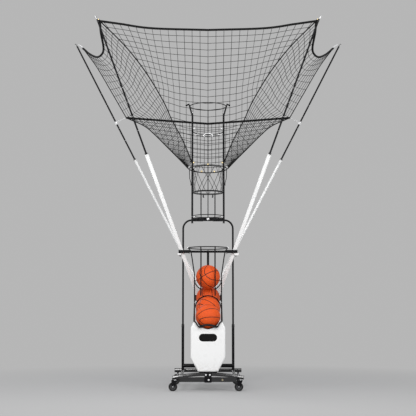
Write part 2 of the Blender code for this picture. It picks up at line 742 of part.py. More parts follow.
def build_supports():
    """The mast with its crossbar and arm rests, and the block on it that holds the poles' feet."""
    _, across, _ = pole_frame(FRONT_POLE_LOW, FRONT_POLE_TIP, 1)
    at_rest = at_height(FRONT_POLE_LOW, FRONT_POLE_TIP, CROSSBAR_Z - REST_DROP)
    rest = at_rest - across * (FRONT_POLE_WIDTH / 2 + REST_RADIUS + GAP)
    bar_y = crossbar_y()
    at_guide = at_height(FRONT_POLE_LOW, FRONT_POLE_TIP, CROSSBAR_Z + GUIDE_HIGH)
    guide_x = FRONT_POLE_WIDTH / 2 / across.x + GUIDE_CLEARANCE - at_guide.x
    pieces = [cylinder((-guide_x - GUIDE_PLATE / 2, bar_y, CROSSBAR_Z),
                       (guide_x + GUIDE_PLATE / 2, bar_y, CROSSBAR_Z), CROSSBAR_RADIUS),
              cylinder((0, MAST_Y, SPINE_LOW_Z + SPINE_HEIGHT + GAP),
                       (0, MAST_Y, CROSSBAR_Z + MAST_TOP_RISE), MAST_RADIUS),
              box((-MAST_RADIUS / 2, bar_y, CROSSBAR_Z - MAST_RADIUS / 2),
                  (MAST_RADIUS / 2, MAST_Y, CROSSBAR_Z + MAST_RADIUS / 2))]
    for _, side in SIDES:
        pieces.append(cylinder((rest.x * side, GUIDE_FRONT_Y + GUIDE_PLATE / 2, rest.z),
                               (rest.x * side, REST_BACK_Y, rest.z), REST_RADIUS, 12))
        pieces.append(pole_guide(side, guide_x, bar_y))
    finish(weld(pieces), "mast_and_crossbar", BLACK_COAT)
    block = box((-SOCKET_BLOCK_HALF, SOCKET_BLOCK_FRONT_Y, SOCKET_BLOCK_LOW_Z),
                (SOCKET_BLOCK_HALF, SOCKET_BLOCK_BACK_Y, SOCKET_BLOCK_LOW_Z + SOCKET_BLOCK_HEIGHT))
    tools = [cylinder((0, MAST_Y, 0), (0, MAST_Y, 2), MAST_RADIUS + GAP)]
    for _, side in SIDES:
        tools.append(front_pole_bar(side, GAP, -GAP, SOCKET_BLOCK_HEIGHT * 2))
        tools.append(rear_pole_bar(side, GAP, -GAP, SOCKET_BLOCK_HEIGHT * 2))
    finish(cut(block, tools), "pole_socket", BLACK_COAT)


def pole_foot(low, tip, side):
    return mirrored(at_height(low, tip, SOCKET_BLOCK_LOW_Z + POLE_FOOT_ABOVE), side)


def front_pole_bar(side, extra, start, length):
    """The front pole's rectangular tube, grown by extra, from start to length above its foot."""
    along, across, third = pole_frame(FRONT_POLE_LOW, FRONT_POLE_TIP, side)
    half_x = FRONT_POLE_WIDTH / 2 + extra
    half_y = FRONT_POLE_DEPTH / 2 + extra
    bar = bevelled(box((-half_x, -half_y, start), (half_x, half_y, length)), FRONT_POLE_EDGE, 1)
    turn = Matrix((across, third, along)).transposed().to_4x4()
    bar.data.transform(Matrix.Translation(pole_foot(FRONT_POLE_LOW, FRONT_POLE_TIP, side)) @ turn)
    return bar


def rear_pole_bar(side, extra, start, length):
    along, _, _ = pole_frame(REAR_POLE_LOW, REAR_POLE_TIP, side)
    foot = pole_foot(REAR_POLE_LOW, REAR_POLE_TIP, side)
    return cylinder(foot + along * start, foot + along * length, REAR_POLE_RADIUS + extra, 12)


def build_poles():
    """Four poles: a white tube in the socket block, a collar, and a black tube that telescopes."""
    rows = (("front", FRONT_POLE_LOW, FRONT_POLE_TIP, FRONT_MOUTH_Z, FRONT_UPPER_RADIUS, front_pole_bar),
            ("rear", REAR_POLE_LOW, REAR_POLE_TIP, REAR_MOUTH_Z, REAR_UPPER_RADIUS, rear_pole_bar))
    for name, side in SIDES:
        for row, low, tip, mouth_z, radius, bar in rows:
            along, _, _ = pole_frame(low, tip, side)
            mouth = mirrored(at_height(low, tip, mouth_z), side)
            length = (mouth - pole_foot(low, tip, side)).length
            hollow = bar(side, -POLE_WALL, -GAP, length - POLE_GUIDE)
            bore = cylinder(mouth - along * POLE_GUIDE * 2, mouth + along * GAP, radius + SLIDE_CLEARANCE, 12)
            finish(cut(bar(side, 0.0, 0.0, length), [hollow, bore]), f"{row}_{name}_lower_pole", WHITE_COAT)
            collar = turned(tube_profile(radius + COLLAR_WALL, radius + SLIDE_CLEARANCE, COLLAR_LENGTH),
                            mouth + along * GAP, along, 12)
            finish(collar, f"{row}_{name}_pole_collar", DARK_PLASTIC)
            build_upper_pole(f"{row}_{name}_upper_pole", mouth, mirrored(tip, side), radius, side)
        build_outrigger(name, side)


def build_upper_pole(name, mouth, tip, radius, side):
    along = (tip - mouth).normalized()
    foot = mouth - along * POLE_INSERT
    bore = cylinder(foot - along * GAP, tip - along * HOOK_RISE, radius - UPPER_WALL, 10)
    tube = cut(cylinder(foot, tip, radius, 10), [bore])
    outward = Vector((-side, 0, 0)) * HOOK_REACH
    hook = wire_along([tip - along * HOOK_REACH, tip + along * HOOK_REACH / 2, tip + UP * HOOK_RISE + outward,
                       tip + UP * HOOK_RISE * 0.8 + outward * 1.8], HOOK_WIRE_RADIUS)
    finish(weld([tube, hook]), name, BLACK_COAT, origin=mouth)


def build_outrigger(name, side):
    """The silver arm on a rear pole that holds the net's low rear corner."""
    along, _, _ = pole_frame(REAR_POLE_LOW, REAR_POLE_TIP, side)
    place = mirrored(at_height(REAR_POLE_LOW, REAR_POLE_TIP, OUTRIGGER_Z), side)
    outer = REAR_UPPER_RADIUS + OUTRIGGER_WALL
    sleeve = turned(tube_profile(outer, REAR_UPPER_RADIUS + GAP, OUTRIGGER_SLEEVE),
                    place - along * OUTRIGGER_SLEEVE / 2, along, 12)
    corner = mirrored(low_corner(), side)
    reach = corner - place
    across = (reach - along * reach.dot(along)).normalized()
    start = place + across * (outer - OUTRIGGER_WALL / 2)
    end = corner - reach.normalized() * (NET_STRAND + OUTRIGGER_WIRE_RADIUS)
    bend = (start + end) / 2 + UP * OUTRIGGER_WIRE_RADIUS * 2
    arm = wire_along([start, bend, end], OUTRIGGER_WIRE_RADIUS)
    finish(weld([sleeve, arm]), f"{name}_outrigger", STEEL, origin=place)


def tower_point(angle, radius, z):
    """A point round the channel axis; the angle counts from the front towards the left."""
    return Vector((-radius * math.sin(angle), CHANNEL_Y - radius * math.cos(angle), z))


def tower_ring_radius():
    return TOWER_HALF - TOWER_RING_SET


def build_tower():
    pieces = []
    top_half = TOWER_HALF + TOWER_FLARE
    top_ring_z = TOWER_TOP_Z - TOP_RING_DROP
    opened = (top_ring_z - TOWER_FLARE_Z) / (TOWER_TOP_Z - TOWER_FLARE_Z)
    top_ring_radius = TOWER_HALF + TOWER_FLARE * opened - TOP_RING_SET
    ring_radius = tower_ring_radius()
    for _, side in SIDES:
        pieces.append(wire_along([
            Vector((-TOWER_HALF * side, CHANNEL_Y, TOWER_LOW_Z)),
            Vector((-TOWER_HALF * side, CHANNEL_Y, TOWER_FLARE_Z)),
            Vector((-top_half * side, CHANNEL_Y, TOWER_TOP_Z)),
            Vector((-(top_half + TOWER_TIP_LENGTH) * side, CHANNEL_Y,
                    TOWER_TOP_Z - TOWER_TIP_LENGTH / 2))], TOWER_TUBE_RADIUS, resolution=2))
    for z, radius in ((top_ring_z, top_ring_radius), (TOWER_MID_RING_Z, ring_radius),
                      (TOWER_LOW_RING_Z, ring_radius)):
        pieces.append(ring((0, CHANNEL_Y, z), radius, TOWER_ROD_RADIUS))
    pieces.append(ring((0, CHANNEL_Y, TOWER_BOW_Z), ring_radius, TOWER_ROD_RADIUS,
                       math.pi / 2, math.pi))
    outside = ring_radius + TOWER_ROD_RADIUS
    pieces.append(wire_along([
        tower_point(math.pi, outside, TOWER_LOW_RING_Z - TOWER_ROD_RADIUS),
        tower_point(math.pi, outside, TOWER_FLARE_Z),
        tower_point(math.pi, top_ring_radius + TOWER_ROD_RADIUS / 2,
                    top_ring_z + TOWER_ROD_RADIUS)], TOWER_ROD_RADIUS))
    spread = math.asin(TOWER_ROD_X / outside)
    for angle in (spread, -spread, math.pi - spread, math.pi + spread):
        pieces.append(wire_along([
            tower_point(angle, outside, TOWER_LOW_RING_Z - TOWER_ROD_RADIUS),
            tower_point(angle, outside, TOWER_MID_RING_Z + TOWER_ROD_RADIUS)], TOWER_ROD_RADIUS))
    finish(weld(pieces), "tower_frame", BLACK_COAT)
    plate_back = FRAME_Y - FRAME_TUBE_RADIUS - GAP
    arm_inner = outside + GAP
    arm_outer = arm_inner + BRACKET_ARM
    arm_low = BRACKET_LOW_Z + BRACKET_HEIGHT / 4
    bracket = [box((-arm_outer, plate_back - BRACKET_PLATE, BRACKET_LOW_Z),
                   (arm_outer, plate_back, BRACKET_LOW_Z + BRACKET_HEIGHT))]
    for _, side in SIDES:
        xs = sorted((arm_inner * side, arm_outer * side))
        bracket.append(box((xs[0], CHANNEL_Y + TOWER_TUBE_RADIUS + GAP, arm_low),
                           (xs[1], plate_back - BRACKET_PLATE / 2, arm_low + BRACKET_HEIGHT / 2)))
    finish(weld(bracket), "tower_bracket", BLACK_COAT)


def net_ring_radius():
    return TOWER_HALF + TOWER_TUBE_RADIUS + NET_RING_GAP


def net_ring_height(angle):
    """The ring's height at an angle from its front; it leans back a little."""
    return NET_RING_Z + net_ring_radius() * math.sin(NET_RING_TILT) * math.cos(angle)


def build_net_ring():
    radius = net_ring_radius()
    hoop = ring((0, 0, 0), radius, NET_RING_WIRE)
    leaning = Matrix.Rotation(-NET_RING_TILT, 4, "X")
    hoop.data.transform(Matrix.Translation((0, CHANNEL_Y, NET_RING_Z)) @ leaning)
    pieces = [hoop]
    wire = NET_RING_WIRE * 0.8
    for _, side in SIDES:
        at_tube = TOWER_HALF + TOWER_TUBE_RADIUS + wire + GAP
        pieces.append(wire_along([
            Vector((-radius * side, CHANNEL_Y, NET_RING_Z)),
            Vector((-(radius - wire) * side, CHANNEL_Y, NET_RING_Z - LOOP_DROP)),
            Vector((-at_tube * side, CHANNEL_Y, NET_RING_Z - LOOP_BEND)),
            Vector((-at_tube * side, CHANNEL_Y, NET_RING_Z - LOOP_FOOT))], wire))
    finish(weld(pieces), "net_ring", BLACK_COAT)


def smooth_through(points, t):
    """A smooth curve through points, at t from 0 to 1 of the way by distance."""
    lengths = [(b - a).length for a, b in zip(points, points[1:])]
    target = t * sum(lengths)
    piece = 0
    while piece < len(lengths) - 1 and target > lengths[piece]:
        target -= lengths[piece]
        piece += 1
    s = min(1.0, target / lengths[piece])
    b, c = points[piece], points[piece + 1]
    a = points[piece - 1] if piece > 0 else b * 2 - c
    d = points[piece + 2] if piece + 2 < len(points) else c * 2 - b
    return 0.5 * ((2 * b) + (c - a) * s + (2 * a - 5 * b + 4 * c - d) * s ** 2
                  + (3 * b - a - 3 * c + d) * s ** 3)


def patch(bottom, top, first, last, columns, rows):
    """A grid of points spanned by four edge curves, each a function from 0 to 1."""
    grid = []
    for row in range(rows + 1):
        w = row / rows
        line = []
        for column in range(columns + 1):
            u = column / columns
            ruled = (1 - u) * first(w) + u * last(w) + (1 - w) * bottom(u) + w * top(u)
            corners = ((1 - u) * (1 - w) * bottom(0) + u * (1 - w) * bottom(1)
                       + (1 - u) * w * top(0) + u * w * top(1))
            line.append(ruled - corners)
        grid.append(line)
    return grid


def net_edge_point(angle):
    """A point of the net's lower edge, which the front seams pull up above the ring."""
    seam = 2 * math.pi / NET_HOOK_COUNT
    pull = math.exp(-((abs(math.remainder(angle, 2 * math.pi)) - seam) / NET_SEAM_SPREAD) ** 2)
    rise = NET_EDGE_RISE + NET_SEAM_RISE * pull
    return tower_point(angle, net_ring_radius() + NET_RING_OFFSET, net_ring_height(angle) + rise)


def sleeve_point(angle, share):
    """A point of the sleeve net, from its hem over the middle ring to the net ring."""
    front = max(0.0, math.cos(angle)) ** 2
    radius = TOWER_HALF - TOWER_TUBE_RADIUS - SLEEVE_GAP + SLEEVE_FLARE * front * share
    low = TOWER_MID_RING_Z + TOWER_ROD_RADIUS + SLEEVE_CLEARANCE
    top = net_ring_height(angle) - SLEEVE_HEM_DROP
    return tower_point(angle, radius, low + (top - low) * share)


def arc(start, end):
    return lambda t: net_edge_point(start + (end - start) * t)


def path(points):
    return lambda t: smooth_through(points, t)


def low_corner():
    """Where the outrigger's end holds the lower corner of the net, on the left."""
    place = at_height(REAR_POLE_LOW, REAR_POLE_TIP, OUTRIGGER_Z)
    return place + Vector((OUTRIGGER_IN, -OUTRIGGER_FORWARD, OUTRIGGER_RISE))


def hung(start, end, bends):
    """An edge from start to end through its bends."""
    return path([start, *(start.lerp(end, share) + off for share, off in bends), end])


def net_patches():
    """The left half of the net: half the front panel, the side panel and half the rear panel."""
    step = 2 * math.pi / NET_HOOK_COUNT
    low = low_corner()
    front_top = Vector((0, FRONT_CORNER.y + FRONT_TOP_BACK, FRONT_CORNER.z - FRONT_TOP_SAG))
    rear_top = Vector((0, low.y - REAR_TOP_FORWARD, low.z - REAR_TOP_SAG))
    seam = hung(net_edge_point(step), FRONT_CORNER, FRONT_SEAM)
    rear_seam = hung(net_edge_point(2 * step), low, REAR_SEAM)
    border = hung(low, REAR_CORNER, REAR_BORDER)
    front = patch(arc(0, step), hung(front_top, FRONT_CORNER, FRONT_EDGE),
                  path([net_edge_point(0), front_top]), seam, NET_FRONT_COLUMNS, NET_ROWS)
    side = patch(arc(step, 2 * step), hung(FRONT_CORNER, REAR_CORNER, SIDE_EDGE), seam,
                 lambda t: rear_seam(2 * t) if t <= 0.5 else border(2 * t - 1),
                 NET_SIDE_COLUMNS, NET_ROWS)
    rear = patch(arc(2 * step, math.pi), path([low, rear_top]), rear_seam,
                 path([net_edge_point(math.pi), rear_top]), NET_REAR_COLUMNS, NET_ROWS // 2)
    return front, side, rear


def drawn_in(grid, at_start):
    """A grid with its first or last column moved inwards, clear of the net beside it."""
    end, neighbour = (0, 1) if at_start else (-1, -2)
    for line in grid:
        line[end] = line[end] + (line[neighbour] - line[end]).normalized() * (NET_STRAND + NET_CLEARANCE) / 2
    return grid


def lattice(grids, strand):
    """A net of strands along the grids' lines, as one solid."""
    bm = bmesh.new()
    for grid in grids:
        verts = [[bm.verts.new(point) for point in line] for line in grid]
        for low, high in zip(verts, verts[1:]):
            for a, b, c, d in zip(low, low[1:], high[1:], high):
                bm.faces.new((a, b, c, d))
    bmesh.ops.remove_doubles(bm, verts=bm.verts, dist=0.0005)
    bmesh.ops.recalc_face_normals(bm, faces=bm.faces)
    obj = mesh_object(bm)
    wires = obj.modifiers.new("strands", "WIREFRAME")
    wires.thickness = strand
    wires.use_even_offset = False
    wires.use_boundary = True
    wires.use_replace = True
    return as_mesh(obj)


def build_nets():
    """The catch net in four quarters, one for each pole, and the sleeve net in the tower."""
    front, side_panel, rear = net_patches()
    middle = NET_SIDE_COLUMNS // 2
    side_front = [line[:middle + 1] for line in side_panel]
    side_rear = [line[middle:] for line in side_panel]
    quarters = (("front", [drawn_in(front, True), drawn_in(side_front, False)]),
                ("rear", [drawn_in(side_rear, True), drawn_in(rear, False)]))
    for row, grids in quarters:
        for name, side in SIDES:
            placed = [[[mirrored(point, side) for point in line] for line in grid] for grid in grids]
            finish(lattice(placed, NET_STRAND), f"{row}_{name}_net", NET_BLACK, sharp=False)
    sleeve = []
    for row in range(SLEEVE_ROWS + 1):
        sleeve.append([sleeve_point(2 * math.pi * (column + row / 2) / SLEEVE_COLUMNS, row / SLEEVE_ROWS)
                       for column in range(SLEEVE_COLUMNS + 1)])
    finish(lattice([sleeve], NET_STRAND * 0.8), "sleeve_net", NET_BLACK, sharp=False)


def ball_places():
    """Centres of the four balls, front to back."""
    pitch = 2 * BALL_RADIUS + BALL_GAP
    second = FRONT_BALL + Vector((0, math.cos(FRONT_SLOPE), math.sin(FRONT_SLOPE))) * pitch
    third = second + Vector((0, math.cos(REAR_SLOPE), math.sin(REAR_SLOPE))) * pitch
    back = third.y - CHANNEL_Y
    top = Vector((0, CHANNEL_Y, third.z + math.sqrt(pitch ** 2 - back ** 2)))
    return [FRONT_BALL, second, third, top]


def build_balls():
    """Four hollow balls, each open to its inside through the valve hole."""
    balls = []
    for name, place in zip(BALL_NAMES, ball_places()):
        valve = cylinder((0, 0, BALL_INNER_RADIUS / 2), (0, 0, BALL_RADIUS * 2), VALVE_RADIUS, 6)
        inside = weld([sphere(BALL_INNER_RADIUS, INNER_SEGMENTS, INNER_RINGS), valve])
        ball = cut(sphere(BALL_RADIUS, BALL_SEGMENTS, BALL_RINGS), [inside])
        ball.location = place
        balls.append(finish(ball, name, BALL_ORANGE))
    return balls


def ramp_path():
    """Centre line of the left ramp wire, from the front ball to the back of the third one."""
    first, second, third, _ = ball_places()
    reach = math.sqrt((BALL_RADIUS + RAMP_WIRE_RADIUS + RAMP_CLEARANCE) ** 2 - RAMP_X ** 2)

    def under(ball, angle):
        return Vector((-RAMP_X, ball.y + reach * math.sin(angle), ball.z - reach * math.cos(angle)))

    points = [under(first, FRONT_SLOPE), under(second, FRONT_SLOPE), under(second, REAR_SLOPE)]
    for step in range(RAMP_WRAP_STEPS + 1):
        points.append(under(third, REAR_SLOPE + (RAMP_WRAP - REAR_SLOPE) * step / RAMP_WRAP_STEPS))
    return points


def height_on(points, y):
    for a, b in zip(points, points[1:]):
        if min(a.y, b.y) <= y <= max(a.y, b.y):
            return a.z + (b.z - a.z) * (y - a.y) / (b.y - a.y)
    return points[0].z


def build_ramp():
    left = ramp_path()
    third = ball_places()[2]
    end = left[-1] - third
    bow_radius = end.length
    out = Vector((0, end.y, end.z)).normalized()
    bow = []
    for share in (0.5, 0.0, -0.5):
        x = -RAMP_X * share
        bow.append(third + Vector((x, 0, 0)) + out * math.sqrt(bow_radius ** 2 - x ** 2))
    right = [mirrored(point, -1) for point in reversed(left)]
    pieces = [wire_along(left + bow + right, RAMP_WIRE_RADIUS)]
    leg_top = height_on(left, RAMP_FRONT_LEG_Y)
    for _, side in SIDES:
        pieces.append(wire_along([
            Vector((-RAMP_X * side, RAMP_FRONT_LEG_Y, leg_top)),
            Vector((-PLATE_X * side, RAMP_FRONT_LEG_Y, leg_top - RAMP_WIRE_RADIUS * 3)),
            Vector((-PLATE_X * side, RAMP_FRONT_LEG_Y, PLATE_TOP_Z + GAP))], RAMP_LEG_RADIUS))
        pieces.append(wire_along([
            Vector((-RAMP_X * side, CHANNEL_Y, height_on(left, CHANNEL_Y))),
            Vector((-RAMP_X * side, CHANNEL_Y, bridge_top_z() + GAP))], RAMP_LEG_RADIUS))
    return finish(weld(pieces), "ramp_rails", BLACK_COAT)


def bridge_top_z():
    return PLATE_TOP_Z + BRIDGE_THICKNESS


def cage_rod(radius_at, low_z, x=None, rear=False):
    """A cage rod: straight below, flaring to the top ring; x holds it at one distance from the middle."""
    points = [(CAGE_RADIUS, low_z), (CAGE_RADIUS, CAGE_STRAIGHT_Z), *reversed(CAGE_THROAT),
              (CAGE_RING_RADIUS, CAGE_RING_Z)]
    result = []
    for radius, z in points:
        angle = radius_at if x is None else math.asin(x / radius)
        if rear:
            angle = math.pi - angle
        result.append(tower_point(angle, radius, z))
    return result


def build_cage():
    second = ball_places()[1]
    hoop_radius = BALL_RADIUS + GUARD_HOOP_GAP + GUARD_WIRE_RADIUS
    hoop_z = second.z + math.sqrt(hoop_radius ** 2 - CAGE_ROD_X ** 2)
    rod_low_z = hoop_z + GUARD_WIRE_RADIUS + 2 * CAGE_WIRE_RADIUS
    guard_top = GUARD_REAR_Z + GUARD_WIRE_RADIUS + GAP
    pieces = [ring((0, CHANNEL_Y, CAGE_RING_Z), CAGE_RING_RADIUS, CAGE_WIRE_RADIUS),
              ring((0, CHANNEL_Y, CAGE_HALF_RING_Z), CAGE_RADIUS, CAGE_WIRE_RADIUS, math.pi / 2, math.pi)]
    spread = math.asin(CAGE_ROD_X / CAGE_RADIUS)
    for _, side in SIDES:
        pieces.append(wire_along(cage_rod(math.pi / 2 * side, guard_top), CAGE_WIRE_RADIUS))
        front = cage_rod(0, rod_low_z, CAGE_ROD_X * side)
        pieces.append(wire_along(front, CAGE_WIRE_RADIUS))
        rear = cage_rod(0, CAGE_HALF_RING_Z - CAGE_WIRE_RADIUS, CAGE_ROD_X * side, rear=True)
        pieces.append(wire_along(rear, CAGE_WIRE_RADIUS))
        brace = []
        for step in range(4):
            share = step / 3
            angle = (math.pi / 2 + (spread - math.pi / 2) * share) * side
            brace.append(tower_point(angle, CAGE_RADIUS,
                                     CAGE_HALF_RING_Z + (CAGE_BRACE_LOW_Z - CAGE_HALF_RING_Z) * share))
        pieces.append(wire_along(brace, CAGE_WIRE_RADIUS))
    cage = finish(weld(pieces), "ball_cage", BLACK_COAT)
    side_rail = [Vector((-CAGE_RADIUS, CHANNEL_Y, bridge_top_z() + GAP)),
                 Vector((-CAGE_RADIUS, CHANNEL_Y, GUARD_REAR_Z)),
                 Vector((-CAGE_RADIUS, GUARD_FRONT_Y, GUARD_FRONT_Z))]
    band_y = COVER_FRONT_TOP_Y - BAND_RADIUS - GAP
    front = [Vector((-GUARD_CORNER_X, band_y, GUARD_CORNER_Z)), Vector((-BAND_HALF, band_y, BAND_LOW_Z))]
    pieces = []
    for _, side in SIDES:
        pieces.append(wire_along([mirrored(point, side) for point in side_rail + front], GUARD_WIRE_RADIUS))
    band = []
    for step in range(7):
        share = step / 3 - 1
        lift = 1 - share ** 2
        band.append(Vector((BAND_HALF * share, band_y - BAND_BULGE * lift, BAND_LOW_Z + BAND_RISE * lift)))
    pieces.append(wire_along(band, BAND_RADIUS, resolution=2))
    slope = (GUARD_FRONT_Z - GUARD_REAR_Z) / (GUARD_FRONT_Y - CHANNEL_Y)
    rail_z = GUARD_REAR_Z + slope * (second.y - CHANNEL_Y)
    rise = math.asin(max(-1.0, min(1.0, (rail_z - second.z) / hoop_radius)))
    hoop = [Vector((-CAGE_RADIUS, second.y, rail_z))]
    for step in range(9):
        angle = rise + (math.pi - 2 * rise) * step / 8
        hoop.append(Vector((-hoop_radius * math.cos(angle), second.y,
                            second.z + hoop_radius * math.sin(angle))))
    hoop.append(Vector((CAGE_RADIUS, second.y, rail_z)))
    pieces.append(wire_along(hoop, GUARD_WIRE_RADIUS))
    guard = finish(weld(pieces), "guard_hoop", BLACK_COAT)
    return cage, guard


def cover_outline(half, bottom_half, low_z, inset):
    """Half-outline to full outline of the front cover, drawn in by inset."""
    right = [(bottom_half - inset / 2, low_z + inset), (half - inset, COVER_KNEE_Z),
             (half - inset, COVER_SHOULDER_Z), (COVER_TOP_HALF - inset / 2, COVER_TOP_Z - inset)]
    return right + [(-x, z) for x, z in reversed(right)]


def lean_front(obj, offset):
    """Tip the cover's front face forward towards its top."""
    for vertex in obj.data.vertices:
        if vertex.co.y < (COVER_FRONT_LOW_Y + COVER_BACK_Y) / 2:
            share = (vertex.co.z - COVER_LOW_Z) / (COVER_TOP_Z - COVER_LOW_Z)
            vertex.co.y = COVER_FRONT_LOW_Y + (COVER_FRONT_TOP_Y - COVER_FRONT_LOW_Y) * share + offset
    return obj


def stadium(width, height, centre_z, grow):
    radius = height / 2 + grow
    straight = (width - height) / 2
    points = []
    for side in (1, -1):
        for step in range(WINDOW_ARC_STEPS + 1):
            angle = math.pi * (step / WINDOW_ARC_STEPS - 0.5)
            points.append((side * (straight + radius * math.cos(angle)),
                           centre_z + side * radius * math.sin(angle)))
    return points


def front_face_y(z):
    share = (z - COVER_LOW_Z) / (COVER_TOP_Z - COVER_LOW_Z)
    return COVER_FRONT_LOW_Y + (COVER_FRONT_TOP_Y - COVER_FRONT_LOW_Y) * share


def build_covers():
    shell = lean_front(plate(cover_outline(COVER_HALF, COVER_BOTTOM_HALF, COVER_LOW_Z, 0.0),
                             COVER_FRONT_TOP_Y, COVER_BACK_Y), 0.0)
    shell = round_front_edges(shell, COVER_EDGE)
    hollow = lean_front(plate(cover_outline(COVER_HALF, COVER_BOTTOM_HALF, COVER_LOW_Z, COVER_WALL),
                              COVER_FRONT_TOP_Y, COVER_BACK_Y + COVER_WALL), COVER_WALL)
    hollow = round_front_edges(hollow, COVER_EDGE - COVER_WALL)
    scoop = cylinder((0, COVER_FRONT_TOP_Y - COVER_WALL, SCOOP_Z), (0, COVER_BACK_Y + COVER_WALL, SCOOP_Z),
                     SCOOP_RADIUS, 32)
    window_y = front_face_y(WINDOW_Z)
    hole = plate(stadium(WINDOW_WIDTH, WINDOW_HEIGHT, WINDOW_Z, GAP), window_y - 0.03, window_y + 0.03)
    cover = finish(cut(shell, [hollow, scoop, hole]), "front_cover", WHITE_COAT)
    pane = plate(stadium(WINDOW_WIDTH, WINDOW_HEIGHT, WINDOW_Z, 0.0), 0.0, WINDOW_THICKNESS)
    for vertex in pane.data.vertices:
        vertex.co.y += front_face_y(vertex.co.z) + GAP
    pane = finish(pane, "cover_window", DARK_PLASTIC)
    outline = [(REAR_COVER_BOTTOM_HALF, REAR_COVER_LOW_Z), (REAR_COVER_HALF, COVER_KNEE_Z),
               (REAR_COVER_HALF, REAR_COVER_TOP_Z)]
    outline += [(-x, z) for x, z in reversed(outline)]
    inner = [(REAR_COVER_BOTTOM_HALF - COVER_WALL, REAR_COVER_LOW_Z - COVER_WALL),
             (REAR_COVER_HALF - COVER_WALL, COVER_KNEE_Z),
             (REAR_COVER_HALF - COVER_WALL, REAR_COVER_TOP_Z - COVER_WALL)]
    inner += [(-x, z) for x, z in reversed(inner)]
    rear_front_y = COVER_BACK_Y + GAP
    tools = [plate(inner, rear_front_y - COVER_WALL, REAR_COVER_BACK_Y - COVER_WALL)]
    for _, side in SIDES:
        slot = (PLATE_X + PLATE_THICKNESS / 2 + GAP) * side, (PLATE_X - PLATE_THICKNESS / 2 - GAP) * side
        tools.append(box((min(slot), COVER_BACK_Y - COVER_WALL, REAR_COVER_TOP_Z - COVER_WALL * 2),
                         (max(slot), PLATE_BACK_Y + GAP, REAR_COVER_TOP_Z + COVER_WALL)))
    rear = finish(cut(plate(outline, rear_front_y, REAR_COVER_BACK_Y), tools), "rear_cover", WHITE_COAT)
    return [cover, pane, rear]


def round_front_edges(shell, width):
    """Round the edges round the cover's front face."""
    bm = bmesh.new()
    bm.from_mesh(shell.data)
    middle = (COVER_FRONT_LOW_Y + COVER_BACK_Y) / 2
    edges = []
    for edge in bm.edges:
        if all(vertex.co.y < middle for vertex in edge.verts) and len(edge.link_faces) == 2:
            if edge.calc_face_angle() > SMOOTH_ANGLE:
                edges.append(edge)
    bmesh.ops.bevel(bm, geom=edges, offset=width, segments=3, profile=0.5, affect="EDGES")
    bmesh.ops.recalc_face_normals(bm, faces=bm.faces)
    bm.to_mesh(shell.data)
    bm.free()
    return shell


def build_chassis(floor_z):
    floor_top = floor_z + FLOOR_THICKNESS
    inner = PLATE_X - PLATE_THICKNESS / 2
    outer = PLATE_X + PLATE_THICKNESS / 2
    pieces = [box((-outer, PLATE_FRONT_Y, floor_z), (outer, PLATE_BACK_Y, floor_top)),
              box((-BRIDGE_HALF, CHANNEL_Y - BRIDGE_WIDTH / 2, PLATE_TOP_Z - GAP),
                  (BRIDGE_HALF, CHANNEL_Y + BRIDGE_WIDTH / 2, bridge_top_z()))]
    for _, side in SIDES:
        xs = sorted((inner * side, outer * side))
        pieces.append(box((xs[0], PLATE_FRONT_Y, floor_z + GAP), (xs[1], PLATE_BACK_Y, PLATE_TOP_Z)))
    wheel_z = shoot_wheel_z()
    tools = [
        cylinder((-1, SHOOT_Y, wheel_z), (1, SHOOT_Y, wheel_z), SHOOT_SHAFT_RADIUS + SLIDE_CLEARANCE, 12),
        cylinder((0, MOTOR_Y, MOTOR_Z), (1, MOTOR_Y, MOTOR_Z), MOTOR_SHAFT_RADIUS + SLIDE_CLEARANCE, 12),
    ]
    return finish(cut(weld(pieces), tools), "launcher_chassis", DARK_PLASTIC)


def shoot_wheel_z():
    """The shaft's height, with both wheels just under the front ball."""
    inner = SHOOT_WHEEL_X - SHOOT_WHEEL_WIDTH / 2
    return FRONT_BALL.z - math.sqrt(BALL_RADIUS ** 2 - inner ** 2) - BALL_GAP - SHOOT_WHEEL_RADIUS


